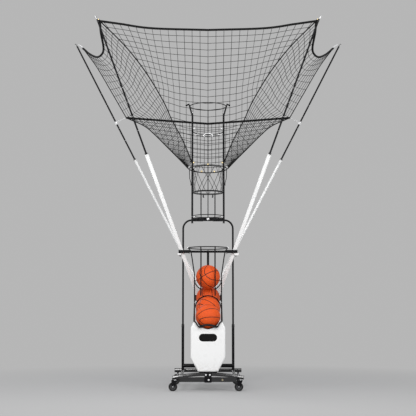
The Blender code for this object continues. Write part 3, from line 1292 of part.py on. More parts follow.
def build_drive():
    z = shoot_wheel_z()
    axis = Vector((0, SHOOT_Y, z))
    wheels = []
    half = SHOOT_WHEEL_WIDTH / 2
    for name, side in SIDES:
        wheel = turned(tube_profile(SHOOT_WHEEL_RADIUS, SHOOT_SHAFT_RADIUS + GAP, SHOOT_WHEEL_WIDTH),
                       axis + Vector((-SHOOT_WHEEL_X * side - half, 0, 0)), (1, 0, 0), SHOOT_WHEEL_SIDES)
        wheels.append(finish(wheel, f"{name}_shooting_wheel", RUBBER, origin=axis))
    shaft_end = PLATE_X + PLATE_THICKNESS
    pulley_low = BELT_X - BELT_WIDTH / 2
    pulley_high = BELT_X + BELT_WIDTH / 2
    shaft = weld([
        cylinder(axis - Vector((shaft_end, 0, 0)), axis + Vector((pulley_high, 0, 0)),
                 SHOOT_SHAFT_RADIUS, 12),
        cylinder(axis + Vector((pulley_low, 0, 0)), axis + Vector((pulley_high + GAP, 0, 0)),
                 SHAFT_PULLEY_RADIUS, 20)])
    shaft = finish(shaft, "wheel_shaft", STEEL, origin=axis)
    motor_axis = Vector((0, MOTOR_Y, MOTOR_Z))
    motor_end = PLATE_X - PLATE_THICKNESS / 2 - GAP
    motor = cylinder(motor_axis + Vector((motor_end - MOTOR_LENGTH, 0, 0)),
                     motor_axis + Vector((motor_end, 0, 0)), MOTOR_RADIUS, RING_SEGMENTS)
    shaft_hole = cylinder(motor_axis + Vector((motor_end - 0.02, 0, 0)), motor_axis + Vector((1, 0, 0)),
                          MOTOR_SHAFT_RADIUS + SLIDE_CLEARANCE, 12)
    motor = finish(cut(motor, [shaft_hole]), "shooting_motor", DARK_PLASTIC)
    pulley = weld([
        cylinder(motor_axis + Vector((motor_end - 0.018, 0, 0)), motor_axis + Vector((pulley_high, 0, 0)),
                 MOTOR_SHAFT_RADIUS, 12),
        cylinder(motor_axis + Vector((pulley_low, 0, 0)), motor_axis + Vector((pulley_high + GAP, 0, 0)),
                 MOTOR_PULLEY_RADIUS, 20)])
    pulley = finish(pulley, "motor_pulley", STEEL, origin=motor_axis)
    belt = build_belt(axis, motor_axis)
    return [*wheels, shaft, motor, pulley, belt]


def belt_loop(first, second, first_radius, second_radius):
    """Outline round two circles, as points (y, z)."""
    across = second - first
    lean = math.asin((first_radius - second_radius) / across.length)
    heading = math.atan2(across.z, across.y)
    points = []
    for centre, radius, start, sweep in (
            (first, first_radius, heading + math.pi / 2 - lean, math.pi + 2 * lean),
            (second, second_radius, heading - math.pi / 2 + lean, math.pi - 2 * lean)):
        for step in range(BELT_ARC_STEPS + 1):
            angle = start + sweep * step / BELT_ARC_STEPS
            points.append((centre.y + radius * math.cos(angle), centre.z + radius * math.sin(angle)))
    return points


def build_belt(first, second):
    inner = belt_loop(first, second, SHAFT_PULLEY_RADIUS + GAP, MOTOR_PULLEY_RADIUS + GAP)
    outer = belt_loop(first, second, SHAFT_PULLEY_RADIUS + BELT_THICKNESS,
                      MOTOR_PULLEY_RADIUS + BELT_THICKNESS)
    belt = plate(outer, -BELT_WIDTH / 2, BELT_WIDTH / 2, hole=inner)
    turn = Matrix.Rotation(math.pi / 2, 4, "Z")
    belt.data.transform(Matrix.Translation((BELT_X, 0, 0)) @ turn)
    return finish(belt, "drive_belt", RUBBER)


def build_feed():
    axis = Vector((0, PADDLE_Y, PADDLE_Z))
    tip = Vector((0, PADDLE_TIP_Y, PADDLE_TIP_Z))
    paddle = weld([
        cylinder(axis - Vector((PADDLE_HALF, 0, 0)), axis + Vector((PADDLE_HALF, 0, 0)),
                 PADDLE_SHAFT_RADIUS, 12),
        cylinder(axis, tip, PADDLE_FINGER_RADIUS, 12)])
    return finish(paddle, "feed_paddle", RUBBER, origin=axis)


def build_control_box():
    low_z = SPINE_LOW_Z + SPINE_HEIGHT + GAP
    body = bevelled(box((-BOX_HALF, BOX_FRONT_Y, low_z),
                        (BOX_HALF, BOX_BACK_Y, low_z + BOX_HEIGHT)), BOX_EDGE)
    recess_deep = SWITCH_THICKNESS - SWITCH_PROUD + SWITCH_ROOM * 2
    half_width = SWITCH_WIDTH / 2
    half_height = SWITCH_HEIGHT / 2
    recess = box((SWITCH_X - half_width - SLIDE_CLEARANCE, BOX_BACK_Y - recess_deep,
                  SWITCH_Z - half_height - SWITCH_ROOM),
                 (SWITCH_X + half_width + SLIDE_CLEARANCE, BOX_BACK_Y + SWITCH_PROUD,
                  SWITCH_Z + half_height + SWITCH_ROOM))
    finish(cut(body, [recess]), "control_box", DARK_PLASTIC)
    rocker_back = BOX_BACK_Y + SWITCH_PROUD - SWITCH_THICKNESS
    rocker = box((SWITCH_X - half_width, rocker_back, SWITCH_Z - half_height),
                 (SWITCH_X + half_width, rocker_back + SWITCH_THICKNESS, SWITCH_Z + half_height))
    finish(rocker, "power_switch", RUBBER, origin=(SWITCH_X, rocker_back + SWITCH_THICKNESS / 2, SWITCH_Z))
    inlet = box((INLET_X - INLET_WIDTH / 2, BOX_BACK_Y + GAP, SWITCH_Z - INLET_HEIGHT / 2),
                (INLET_X + INLET_WIDTH / 2, BOX_BACK_Y + GAP + INLET_DEPTH, SWITCH_Z + INLET_HEIGHT / 2))
    socket = box((INLET_X - INLET_WIDTH / 3, BOX_BACK_Y + INLET_DEPTH / 3, SWITCH_Z - INLET_HEIGHT / 3),
                 (INLET_X + INLET_WIDTH / 3, BOX_BACK_Y + INLET_DEPTH * 2, SWITCH_Z + INLET_HEIGHT / 3))
    finish(cut(inlet, [socket]), "power_inlet", RUBBER)


def main():
    build_base()
    turntable, floor_z = build_turntable()
    build_handle_frame()
    build_supports()
    build_poles()
    build_tower()
    build_net_ring()
    build_nets()
    build_control_box()
    launcher = [turntable, build_chassis(floor_z), build_ramp(), *build_cage(), *build_covers(),
                *build_drive(), build_feed(), *build_balls()]
    hang(launcher, "launcher_yaw", (0, CHANNEL_Y, floor_z))


main()
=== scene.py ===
"""Looks of the basketball shooting machine: materials, fine net, hardware, floor, light and camera."""
from collections import namedtuple
from math import asin, copysign, cos, exp, pi, radians, remainder, sin

import bmesh
import bpy
from mathutils import Matrix, Vector


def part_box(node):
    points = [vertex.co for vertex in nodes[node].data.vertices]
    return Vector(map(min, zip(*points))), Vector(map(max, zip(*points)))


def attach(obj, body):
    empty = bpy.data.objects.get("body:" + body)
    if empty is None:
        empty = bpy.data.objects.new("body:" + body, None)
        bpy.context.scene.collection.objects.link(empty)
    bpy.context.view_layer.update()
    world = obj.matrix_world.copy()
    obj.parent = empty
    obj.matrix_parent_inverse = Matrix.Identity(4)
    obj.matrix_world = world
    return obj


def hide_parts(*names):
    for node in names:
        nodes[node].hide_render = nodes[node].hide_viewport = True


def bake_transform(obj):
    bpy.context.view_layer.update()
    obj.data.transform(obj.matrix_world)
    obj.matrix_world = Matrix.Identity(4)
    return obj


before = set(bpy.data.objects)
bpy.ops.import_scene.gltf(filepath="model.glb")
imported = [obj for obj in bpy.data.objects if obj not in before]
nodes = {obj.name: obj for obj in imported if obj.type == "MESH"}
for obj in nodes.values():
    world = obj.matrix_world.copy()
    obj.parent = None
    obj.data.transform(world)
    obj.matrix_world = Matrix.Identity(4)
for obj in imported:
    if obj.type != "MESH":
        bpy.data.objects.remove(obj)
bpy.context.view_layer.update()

# Directions, and the factor that mirrors the left side's points
ACROSS = Vector((1.0, 0.0, 0.0))
BACK = Vector((0.0, 1.0, 0.0))
FORWARD = Vector((0.0, -1.0, 0.0))
UP = Vector((0.0, 0.0, 1.0))
SIDES = (("left", 1.0), ("right", -1.0))

# Places and sizes in metres, most of them the solids' own
CHANNEL_Y = -0.15
FRAME_X = 0.2565
FRAME_Y = 0.16
SOCKET_TOP_Z = 0.611
CROSSBAR_Z = 1.367
HANDLE_TOP_Z = 1.694
FRONT_CASTER_Y = -0.46
REAR_CASTER_Y = 0.42
WHEEL_RADIUS = 0.042
WHEEL_SIDES = 20
CASTER_TRAIL = 0.02
FORK_TOP_Z = 0.1045
ARCH_HALF = 0.34
ARCH_END_Z = 0.127
ARCH_RADIUS = 0.018
REAR_TUBE_Z = 0.1454
REAR_TUBE_RADIUS = 0.021
RAIL_Z = 0.145
RAIL_RADIUS = 0.0162
BEAM_FACE_Y = -0.43
BALL_RADIUS = 0.1195
TOWER_HALF = 0.158
TOWER_LOW_Z = 1.633
BRACKET_BOLT_Z = 1.701
TOWER_MID_RING_Z = 1.941
TOWER_LOW_RING_Z = 1.706
SENSOR_Y = CHANNEL_Y + 0.1395
SENSOR_Z = 2.5535
SENSOR_HALF_WIDTH = 0.046
SENSOR_HALF_HEIGHT = 0.0205
CAGE_TOP_RADIUS = 0.1974
CAGE_TOP_Z = 1.385
CAGE_LOW_RADIUS = 0.1345
CAGE_LOW_Z = 1.06
CAGE_WIRE_X = 0.07
COVER_LOW_Z = 0.185
COVER_TOP_Z = 0.6515
COVER_FRONT_LOW_Y = -0.505
COVER_LEAN = 0.045
WINDOW_Z = 0.507
WINDOW_STRAIGHT = 0.0497
WINDOW_RADIUS = 0.0354
RIM_STEPS = 12
SHOOTING_WHEEL_RADIUS = 0.07

# Left poles: foot, tip, height of the white tube's mouth and radius of the black tube
Pole = namedtuple("Pole", "low tip mouth_z radius")
FRONT_POLE = Pole(Vector((-0.0937, 0.155, 0.89)), Vector((-1.0843, -0.6, 3.5967)), 2.318, 0.0092)
REAR_POLE = Pole(Vector((-0.025, 0.188, 0.89)), Vector((-1.4444, 0.6007, 3.6634)), 2.361, 0.0085)
POLE_BOLT_Z = 1.9
FIRST_BUTTON = 0.25
BUTTON_PITCH = 0.15
BUTTON_COUNT = 5

# Net ring, and the edge of the net that hooks to it
NET_RING_RADIUS = 0.188
NET_RING_Z = 2.184
NET_RING_TILT = radians(3.7)
NET_HOOK_COUNT = 7
NET_RING_OFFSET = 0.014
NET_EDGE_RISE = 0.009
NET_SEAM_RISE = 0.027
NET_SEAM_SPREAD = radians(18)
SIDE_HOOK_DEGREES = 103.0
HOOK_DEGREES = (0.0, 48.4, -48.4, SIDE_HOOK_DEGREES, -SIDE_HOOK_DEGREES, 159.6, -159.6)

# Net: counts, and the radii of its cords and ropes
CELL = 0.0786
NET_ROWS = 20
REAR_ROWS = 11
SIDE_COLUMNS = 15
REAR_COLUMNS = 11
FRONT_HALF_WIDTH = 1.06
COLUMN_LEAN = 0.75
SIDE_FADE = 2.6
LINE_STEPS = 26
PLUMB_STEPS = 60
STRAND = 0.0023
LINK_CORD = 0.0022
HEM_ROPE = 0.003
BORDER_ROPE = 0.0052
SEAM_ROPE = 0.006
BAND_ROPE = 0.0112
TIE_ROPE = 0.007

# Net: corners, and points along the edges and seams of its left half
NET_FRONT_TOP = Vector((0.0, -0.53, 3.5074))
NET_REAR_TOP = Vector((0.0, 0.33, 2.7418))
FRONT_CORNER = Vector((-1.058, -0.588, 3.58))
REAR_CORNER = Vector((-1.3763, 0.575, 3.6341))
LOW_CORNER = Vector((-0.872, 0.355, 2.8107))
FRONT_EDGE = ((-0.55, -0.56, 3.516), (-0.85, -0.585, 3.551))
FRONT_SEAM = (
    (-0.2534, -0.32, 2.4513),
    (-0.3559, -0.365, 2.635),
    (-0.4409, -0.41, 2.8187),
    (-0.6097, -0.475, 3.0921),
    (-0.8133, -0.54, 3.3432),
)
SIDE_EDGE = (
    (-1.0788, -0.32, 3.5472),
    (-1.0797, -0.05, 3.4404),
    (-1.1581, 0.15, 3.4209),
    (-1.2719, 0.38, 3.5134),
)
REAR_BORDER = ((-1.22, 0.53, 3.418), (-1.053, 0.46, 3.131))
REAR_SEAM = (
    (-0.2852, -0.03, 2.2939),
    (-0.4131, 0.08, 2.4373),
    (-0.5552, 0.2, 2.5963),
    (-0.6763, 0.27, 2.7076),
)

# Net: a direction and reach towards each quarter's pole
FRONT_PULL = Vector((-0.5, -0.8, 0.3)).normalized()
REAR_PULL = Vector((-0.5, 1.0, 0.0)).normalized()
PULL_START = Vector((-1.125, 0.05, 3.4))
REAR_PULL_LENGTH = 0.145

# Net inside the tower
SLEEVE_RADIUS = 0.1455
SLEEVE_FLARE = 0.025
SLEEVE_LOW_Z = TOWER_MID_RING_Z + 0.008
SLEEVE_DROP = 0.006
SLEEVE_COLUMNS = 7
SLEEVE_TURNS = 0.125
SLEEVE_STEPS = 12
HEM_STEPS = 56

# Each ball's body, and the turn of its seams in degrees
BALLS = {
    "front_ball": ("front_ball", (-1.8, 129.1, 115.7)),
    "second_ball": ("launcher", (-83.3, 41.5, -132.7)),
    "third_ball": ("launcher", (70, 20, 60)),
    "top_ball": ("top_ball", (-5.2, 148.9, -37.7)),
}
SEAM_HALF_WIDTH = 0.034
SEAM_WAIST = 0.44
SEAM_BOW = 0.4

# Camera: the photograph's own angle, worked out for a 416 pixel square
IMAGE_SIZE = 416
FOCAL_PIXELS = 955.0
SENSOR = 36.0
CAMERA_PLACE = Vector((0.0, -9.68, 0.74))
CAMERA_PITCH = radians(6.27)

# Floor and background, and each lamp's name, place, aim, size and power
PALE_COLOUR = (0.47, 0.47, 0.47)
FLOOR_RADIUS = 90.0
SHADOW_REACH = 1.2
SHADOW_END = 4.2
LAMPS = (
    ("key", (3.0, -4.2, 4.4), (0, 0, 1.2), (0.7, 2.6), 50),
    ("left_strip", (-1.0, -4.2, 3.4), (0, 0, 0.6), (0.3, 2.6), 54),
    ("right_strip", (0.9, -4.0, 3.2), (0, 0, 0.6), (0.22, 2.4), 30),
    ("near_strip", (-0.46, -3.6, 4.6), (0, 0, 0.6), (0.25, 2.2), 32),
    ("low_left", (-3.2, -3.8, 1.0), (0, 0, 1.2), (1.4, 1.0), 30),
    ("low_right", (3.2, -3.8, 1.0), (0, 0, 1.2), (1.4, 1.0), 30),
    ("side", (-5.0, -2.5, 3.0), (0, 0, 1.6), (2.5, 2.5), 30),
    ("top", (0.0, 1.0, 7.0), (0, 0, 1.5), (3.5, 3.5), 48),
    ("rim", (-3.5, 4.5, 4.5), (0, 0, 1.8), (2.0, 2.0), 60),
)


def mirrored(point, side):
    return Vector((point[0] * side, point[1], point[2]))


def feed(socket, value):
    """Link another node's output to a socket, or set the socket's own value."""
    if isinstance(value, bpy.types.NodeSocket):
        socket.id_data.links.new(value, socket)
    else:
        socket.default_value = value


def fill(node, **inputs):
    """Feed a node's inputs, named with _ for each space, and give the node back."""
    for name, value in inputs.items():
        feed(node.inputs[name.replace("_", " ")], value)
    return node


def math_node(tree, operation, *values):
    node = tree.nodes.new("ShaderNodeMath")
    node.operation = operation
    for socket, value in zip(node.inputs, values):
        feed(socket, value)
    return node.outputs[0]


class Shader:
    """A Principled material with short names for its nodes."""

    def __init__(self, name, colour, roughness, metallic=0.0):
        self.material = bpy.data.materials.new(name)
        self.material.use_nodes = True
        self.tree = self.material.node_tree
        self.shader = self.tree.nodes["Principled BSDF"]
        fill(self.shader, Base_Color=(*colour, 1.0), Roughness=roughness, Metallic=metallic)
        self.place = self.node("ShaderNodeTexCoord").outputs["Object"]
        self.bumps = []

    def turn(self, angles):
        """Turn the pattern alone, by angles in degrees, where the piece itself isn't turned."""
        rotate = self.node("ShaderNodeVectorRotate", Vector=self.place)
        rotate.rotation_type = "EULER_XYZ"
        rotate.invert = True
        fill(rotate, Rotation=[radians(angle) for angle in angles])
        self.place = rotate.outputs["Vector"]

    def node(self, kind, **inputs):
        return fill(self.tree.nodes.new(kind), **inputs)

    def noise(self, scale, detail=4.0, roughness=0.55, stretch=None):
        place = self.place
        if stretch:
            place = self.node("ShaderNodeMapping", Vector=place, Scale=stretch).outputs["Vector"]
        node = self.node("ShaderNodeTexNoise", Vector=place, Scale=scale, Detail=detail,
                         Roughness=roughness)
        return node.outputs["Fac"]

    def cells(self, scale):
        return self.node("ShaderNodeTexVoronoi", Vector=self.place, Scale=scale).outputs["Distance"]

    def span(self, value, low, high, to_low=0.0, to_high=1.0):
        """A value's range from low to high, mapped to another range and kept inside it."""
        return self.node("ShaderNodeMapRange", Value=value, From_Min=low, From_Max=high,
                         To_Min=to_low, To_Max=to_high).outputs["Result"]

    def math(self, operation, *values):
        return math_node(self.tree, operation, *values)

    def blend_colour(self, amount, other):
        """Mix the colour so far with another, by a value from 0 to 1."""
        mix = self.node("ShaderNodeMix")
        mix.data_type = "RGBA"
        colour = self.shader.inputs["Base Color"]
        so_far = colour.links[0].from_socket if colour.is_linked else tuple(colour.default_value)
        fill(mix, A=so_far, B=(*other, 1.0), Factor=amount)
        feed(colour, mix.outputs["Result"])

    def blotches(self, value, low, high, share, other):
        """Blend in another colour where a value passes from low to high, up to a share."""
        self.blend_colour(self.span(value, low, high, 0.0, share), other)

    def vary_roughness(self, value, low, high):
        fill(self.shader, Roughness=self.span(value, 0.3, 0.7, low, high))

    def bump(self, height, strength, distance):
        """Add a bump on top of those before it."""
        bump = self.node("ShaderNodeBump", Height=height, Strength=strength, Distance=distance)
        if self.bumps:
            fill(bump, Normal=self.bumps[-1])
        self.bumps.append(bump.outputs["Normal"])
        fill(self.shader, Normal=bump.outputs["Normal"])


def shade(colour, factor, more=0.0):
    """A darker or lighter tone of a colour."""
    return tuple(min(1.0, channel * factor + more) for channel in colour)


def powder_coat(name, colour, roughness, shine=0.5, coat=0.0, rubbed=0.012):
    """Baked paint on steel: a faint orange peel, dust and a few rubbed places."""
    s = Shader(name, colour, roughness)
    fill(s.shader, Specular_IOR_Level=shine, Coat_Weight=coat, Coat_Roughness=0.12)
    s.blotches(s.noise(7.0, 5.0), 0.45, 0.75, 0.35, shade(colour, 0.78))
    s.blotches(s.noise(38.0, 6.0, 0.7), 0.62, 0.78, 0.22, shade(colour, 1.08, rubbed))
    s.vary_roughness(s.noise(16.0, 3.0), roughness * 0.8, min(1.0, roughness * 1.35))
    s.bump(s.noise(420.0, 2.0), 0.12, 0.0006)
    return s.material


def bare_metal(name, colour, roughness, stretch, metallic=1.0):
    """Brushed or turned metal with fine lines one way and a little tarnish."""
    s = Shader(name, colour, roughness, metallic)
    s.blotches(s.noise(22.0, 5.0), 0.5, 0.8, 0.4, shade(colour, 0.65))
    lines = s.noise(260.0, 3.0, 0.6, stretch)
    s.vary_roughness(lines, roughness * 0.7, roughness * 1.5)
    s.bump(lines, 0.18, 0.0004)
    return s.material


def rubber(name, colour, roughness=0.8):
    """Moulded rubber, dusty where it rolls."""
    s = Shader(name, colour, roughness)
    fill(s.shader, Specular_IOR_Level=0.3)
    s.blotches(s.noise(30.0, 6.0, 0.7), 0.45, 0.75, 0.5, (0.028, 0.027, 0.026))
    s.vary_roughness(s.noise(60.0, 3.0), roughness * 0.85, min(1.0, roughness * 1.15))
    s.bump(s.noise(700.0, 2.0), 0.3, 0.0006)
    return s.material


def moulded_plastic(name, colour, roughness, grain=900.0, scuffs=0.12, shine=0.35):
    """Textured plastic with light scuffs."""
    s = Shader(name, colour, roughness)
    fill(s.shader, Specular_IOR_Level=shine)
    s.blotches(s.noise(5.0, 4.0), 0.4, 0.8, 0.3, shade(colour, 0.88))
    scratches = s.noise(90.0, 5.0, 0.75, (1.0, 0.12, 0.25))
    s.blotches(scratches, 0.66, 0.78, scuffs, shade(colour, 0.7, 0.12))
    s.vary_roughness(s.noise(12.0, 3.0), roughness * 0.8, min(1.0, roughness * 1.3))
    s.bump(s.cells(grain), 0.1, 0.0003)
    return s.material


def cover_paint(name):
    """The launcher's white shell: semi-gloss, with faint handling marks and dust low down."""
    s = Shader(name, (0.88, 0.88, 0.87), 0.3)
    fill(s.shader, Coat_Weight=0.25, Coat_Roughness=0.15)
    s.blotches(s.noise(3.0, 4.0), 0.4, 0.8, 0.4, (0.83, 0.83, 0.82))
    marks = s.noise(75.0, 6.0, 0.75, (1.0, 1.0, 0.2))
    s.blotches(marks, 0.64, 0.76, 0.25, (0.66, 0.66, 0.65))
    height = s.node("ShaderNodeSeparateXYZ", Vector=s.place).outputs["Z"]
    low_down = s.span(height, 0.19, 0.3, 1.0, 0.0)
    dust = s.math("MULTIPLY", low_down, s.span(s.noise(45.0, 5.0), 0.4, 0.7, 0.0, 0.45))
    s.blend_colour(dust, (0.48, 0.46, 0.43))
    s.vary_roughness(s.noise(20.0, 3.0), 0.24, 0.42)
    s.bump(s.noise(260.0, 2.0), 0.05, 0.0005)
    return s.material


def yarn(name, colour, roughness=0.9):
    """Twisted nylon cord."""
    s = Shader(name, colour, roughness)
    fill(s.shader, Specular_IOR_Level=0.15, Sheen_Weight=0.06, Sheen_Roughness=0.4)
    s.blotches(s.noise(140.0, 5.0, 0.7), 0.4, 0.75, 0.6, (0.022, 0.022, 0.023))
    s.bump(s.noise(900.0, 3.0, 0.7), 0.6, 0.0008)
    return s.material


def ball_leather(name, angles):
    """Pebbled orange ball cover with its black seams cut into it, turned by angles in degrees."""
    s = Shader(name, (0.8, 0.098, 0.01), 0.5)
    s.turn(angles)
    fill(s.shader, Specular_IOR_Level=0.25)
    s.blotches(s.noise(9.0, 5.0), 0.35, 0.75, 0.5, (0.64, 0.066, 0.008))
    s.blotches(s.noise(55.0, 6.0, 0.7), 0.55, 0.75, 0.3, (0.84, 0.15, 0.03))
    unit = s.node("ShaderNodeVectorMath", Vector=s.place)
    unit.operation = "NORMALIZE"
    parts = s.node("ShaderNodeSeparateXYZ", Vector=unit.outputs["Vector"]).outputs
    x, z = parts["X"], parts["Z"]
    side = s.math("ABSOLUTE", x)
    bow = s.math("ADD", s.math("MULTIPLY", s.math("MULTIPLY", z, z), SEAM_BOW), SEAM_WAIST)
    curved = s.math("ABSOLUTE", s.math("SUBTRACT", side, bow))
    nearest = s.math("MINIMUM", s.math("MINIMUM", side, s.math("ABSOLUTE", z)), curved)
    seam = s.span(nearest, SEAM_HALF_WIDTH * 0.55, SEAM_HALF_WIDTH, 1.0, 0.0)
    pebble = s.span(s.cells(330.0), 0.1, 0.7, 1.0, 0.0)
    # Painted shade: the gaps between the pebbles are darkened in colour
    s.blend_colour(s.span(pebble, 0.0, 0.35, 0.35, 0.0), (0.38, 0.055, 0.012))
    s.blend_colour(seam, (0.014, 0.013, 0.012))
    s.vary_roughness(s.noise(25.0, 3.0), 0.45, 0.68)
    s.bump(s.math("MULTIPLY", pebble, s.math("SUBTRACT", 1.0, seam)), 0.55, 0.001)
    s.bump(s.math("SUBTRACT", 1.0, seam), 0.8, 0.0018)
    return s.material


GLOSS_BLACK = powder_coat("gloss_black_paint", (0.004, 0.004, 0.005), 0.16, 0.5, 0.8)
BLACK_COAT = powder_coat("black_powder_coat", (0.004, 0.004, 0.005), 0.38, 0.15, 0.0, 0.008)
WHITE_COAT = powder_coat("white_powder_coat", (0.88, 0.88, 0.87), 0.34, 0.5, 0.15)
STEEL = bare_metal("zinc_plated_steel", (0.82, 0.82, 0.83), 0.32, (1.0, 1.0, 0.05), 0.3)
BRIGHT_STEEL = bare_metal("polished_steel", (0.9, 0.9, 0.9), 0.34, (1.0, 1.0, 0.05), 0.15)
TURNED_STEEL = bare_metal("turned_steel", (0.6, 0.61, 0.62), 0.3, (0.05, 1.0, 1.0))
DULL_BRASS = bare_metal("dull_brass", (0.5, 0.44, 0.3), 0.35, (1.0, 1.0, 0.1), 0.8)
BRASS = bare_metal("brass", (1.0, 0.8, 0.42), 0.28, (1.0, 1.0, 0.1), 0.25)
ALLOY = powder_coat("black_alloy", (0.014, 0.014, 0.015), 0.45, 0.4)
TYRE = rubber("caster_tread", (0.012, 0.012, 0.012))
WHEEL_RUBBER = rubber("shooting_wheel_rubber", (0.022, 0.022, 0.023), 0.72)
HUB_PLASTIC = moulded_plastic("caster_hub", (0.07, 0.07, 0.073), 0.45)
DARK_PLASTIC = moulded_plastic("black_plastic", (0.012, 0.012, 0.013), 0.46)
WINDOW_PLASTIC = moulded_plastic("window_plastic", (0.004, 0.004, 0.004), 0.24, 1400.0, 0.03, 0.2)
GREY_PLASTIC = moulded_plastic("grey_plastic", (0.16, 0.16, 0.17), 0.5)
WHITE_PLASTIC = moulded_plastic("white_plastic", (0.84, 0.84, 0.83), 0.45)
RED_PLASTIC = moulded_plastic("red_plastic", (0.45, 0.02, 0.015), 0.35)
GREEN_PLASTIC = moulded_plastic("green_plastic", (0.03, 0.28, 0.06), 0.35)
COVER_WHITE = cover_paint("cover_white")
FOAM = rubber("foam_sleeve", (0.012, 0.012, 0.013), 0.92)
NET_CORD = yarn("net_cord", (0.004, 0.004, 0.004))
ROPE_CORD = yarn("border_rope", (0.005, 0.005, 0.005))

# The slot for each material but the balls' covers, which are made with the balls
SLOTS = {
    "gloss_black_steel": (GLOSS_BLACK,),
    "black_steel": (BLACK_COAT,),
    "black_alloy": (ALLOY,),
    "bare_steel": (STEEL, BRIGHT_STEEL, TURNED_STEEL, DULL_BRASS, BRASS),
    "black_rubber": (TYRE, WHEEL_RUBBER, FOAM),
    "black_plastic": (HUB_PLASTIC, DARK_PLASTIC, WINDOW_PLASTIC, GREY_PLASTIC, RED_PLASTIC,
                      GREEN_PLASTIC),
    "white_pole": (WHITE_PLASTIC,),
    "white_cover": (COVER_WHITE,),
    "black_net": (NET_CORD, ROPE_CORD),
}
SLOT_OF = {material.name: slot for slot, materials in SLOTS.items() for material in materials}


def new_object(name, data):
    obj = bpy.data.objects.new(name, data)
    bpy.context.scene.collection.objects.link(obj)
    return obj


def add_object(name, mesh, material, body=None, slot=None, smooth=True):
    """A new piece with its material, on a body where one is given."""
    obj = new_object(name, mesh)
    mesh.materials.append(material)
    if smooth:
        mesh.shade_smooth()
        mesh.set_sharp_from_angle(angle=radians(38))
    slot = slot or SLOT_OF.get(material.name)
    if body:
        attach(obj, body)
    return obj


def add_mesh(name, bm, material, body=None, **options):
    """A new piece from a mesh under construction, which is used up."""
    mesh = bpy.data.meshes.new(name)
    bmesh.ops.recalc_face_normals(bm, faces=bm.faces)
    bm.to_mesh(mesh)
    bm.free()
    return add_object(name, mesh, material, body, **options)


def add_tubes(name, lines, radius, level, material, body=None):
    """A new piece of round strands along lines of points; a higher level makes them rounder."""
    curve = bpy.data.curves.new(name, "CURVE")
    curve.dimensions = "3D"
    curve.bevel_depth = radius
    curve.bevel_resolution = level
    curve.use_fill_caps = True
    for line, closed in lines:
        spline = curve.splines.new("POLY")
        spline.points.add(len(line) - 1)
        for point, place in zip(spline.points, line):
            point.co = (*place, 1.0)
        spline.use_cyclic_u = closed
    obj = new_object(name, curve)
    bpy.context.view_layer.update()
    mesh = bpy.data.meshes.new_from_object(obj.evaluated_get(bpy.context.evaluated_depsgraph_get()))
    bpy.data.objects.remove(obj)
    mesh.name = name
    return add_object(name, mesh, material, body)


def wire(name, points, radius, material, body):
    add_tubes(name, [(rounded(points), False)], radius, 2, material, body)


def rounded(points, steps=4):
    """The same line with its corners cut into short arcs."""
    result = [points[0]]
    for before, corner, after in zip(points, points[1:], points[2:]):
        reach = min((corner - before).length, (after - corner).length) * 0.3
        start = corner + (before - corner).normalized() * reach
        end = corner + (after - corner).normalized() * reach
        for step in range(steps + 1):
            t = step / steps
            result.append((1 - t) ** 2 * start + 2 * t * (1 - t) * corner + t ** 2 * end)
    result.append(points[-1])
    return result


def circle(centre, radius, steps, first, second):
    """Points round a circle in the plane of two directions."""
    angles = [2 * pi * step / steps for step in range(steps)]
    return [centre + radius * (cos(angle) * first + sin(angle) * second) for angle in angles]


def cone_between(bm, start, end, radius, end_radius=None, sides=24):
    """A cone with both ends closed, or a cylinder where no end radius is given."""
    start, end = Vector(start), Vector(end)
    along = end - start
    made = bmesh.ops.create_cone(bm, cap_ends=True, segments=sides, radius1=radius,
                                 radius2=end_radius or radius, depth=along.length)
    turn = along.to_track_quat("Z", "Y").to_matrix()
    bmesh.ops.rotate(bm, matrix=turn, verts=made["verts"])
    bmesh.ops.translate(bm, vec=(start + end) / 2, verts=made["verts"])


def add_rod(name, start, end, radius, material, body, end_radius=None, sides=24):
    bm = bmesh.new()
    cone_between(bm, start, end, radius, end_radius, sides)
    add_mesh(name, bm, material, body)


def sphere_mesh(bm, place, radius, segments, rings, height=1.0):
    """A sphere, flattened where its height is below 1."""
    made = bmesh.ops.create_uvsphere(bm, u_segments=segments, v_segments=rings, radius=radius)
    bmesh.ops.scale(bm, vec=(1.0, 1.0, height), verts=made["verts"])
    bmesh.ops.translate(bm, vec=place, verts=made["verts"])


def bolt_mesh(bm, place, outward, radius, height):
    """A hexagon head with a chamfered top, on a washer."""
    rise = Vector(outward).normalized() * height
    base = Vector(place)
    cone_between(bm, base, base + rise * 0.25, radius * 1.35, radius * 1.3)
    base += rise * 0.25
    cone_between(bm, base, base + rise * 0.75, radius, sides=6)
    cone_between(bm, base + rise * 0.75, base + rise, radius, radius * 0.8, 6)


def bolts(name, places, material, body, radius, height):
    bm = bmesh.new()
    for place, outward in places:
        bolt_mesh(bm, place, outward, radius, height)
    add_mesh(name, bm, material, body)


def lathe(profile, start, along, steps):
    """A turned mesh from (radius, height) points round an axis; a closed profile makes a ring."""
    bm = bmesh.new()
    loop = [bm.verts.new((radius, 0, height)) for radius, height in profile]
    edges = [bm.edges.new((a, b)) for a, b in zip(loop, loop[1:] + loop[:1])]
    bmesh.ops.spin(bm, geom=loop + edges, cent=(0, 0, 0), axis=(0, 0, 1), dvec=(0, 0, 0),
                   angle=2 * pi, steps=steps, use_duplicate=False)
    bmesh.ops.remove_doubles(bm, verts=bm.verts, dist=0.00001)
    turn = Vector(along).to_track_quat("Z", "Y").to_matrix().to_4x4()
    bmesh.ops.transform(bm, matrix=Matrix.Translation(Vector(start)) @ turn, verts=bm.verts)
    return bm


def turned_wheel(half_profile, start, along, steps):
    """A turned ring whose profile is the given half and its mirror image."""
    other_half = [(radius, -height) for radius, height in reversed(half_profile)]
    return lathe(half_profile + other_half, start, along, steps)


def repaint(material, *names):
    for name in names:
        mesh = nodes[name].data
        mesh.materials.clear()
        mesh.materials.append(material)


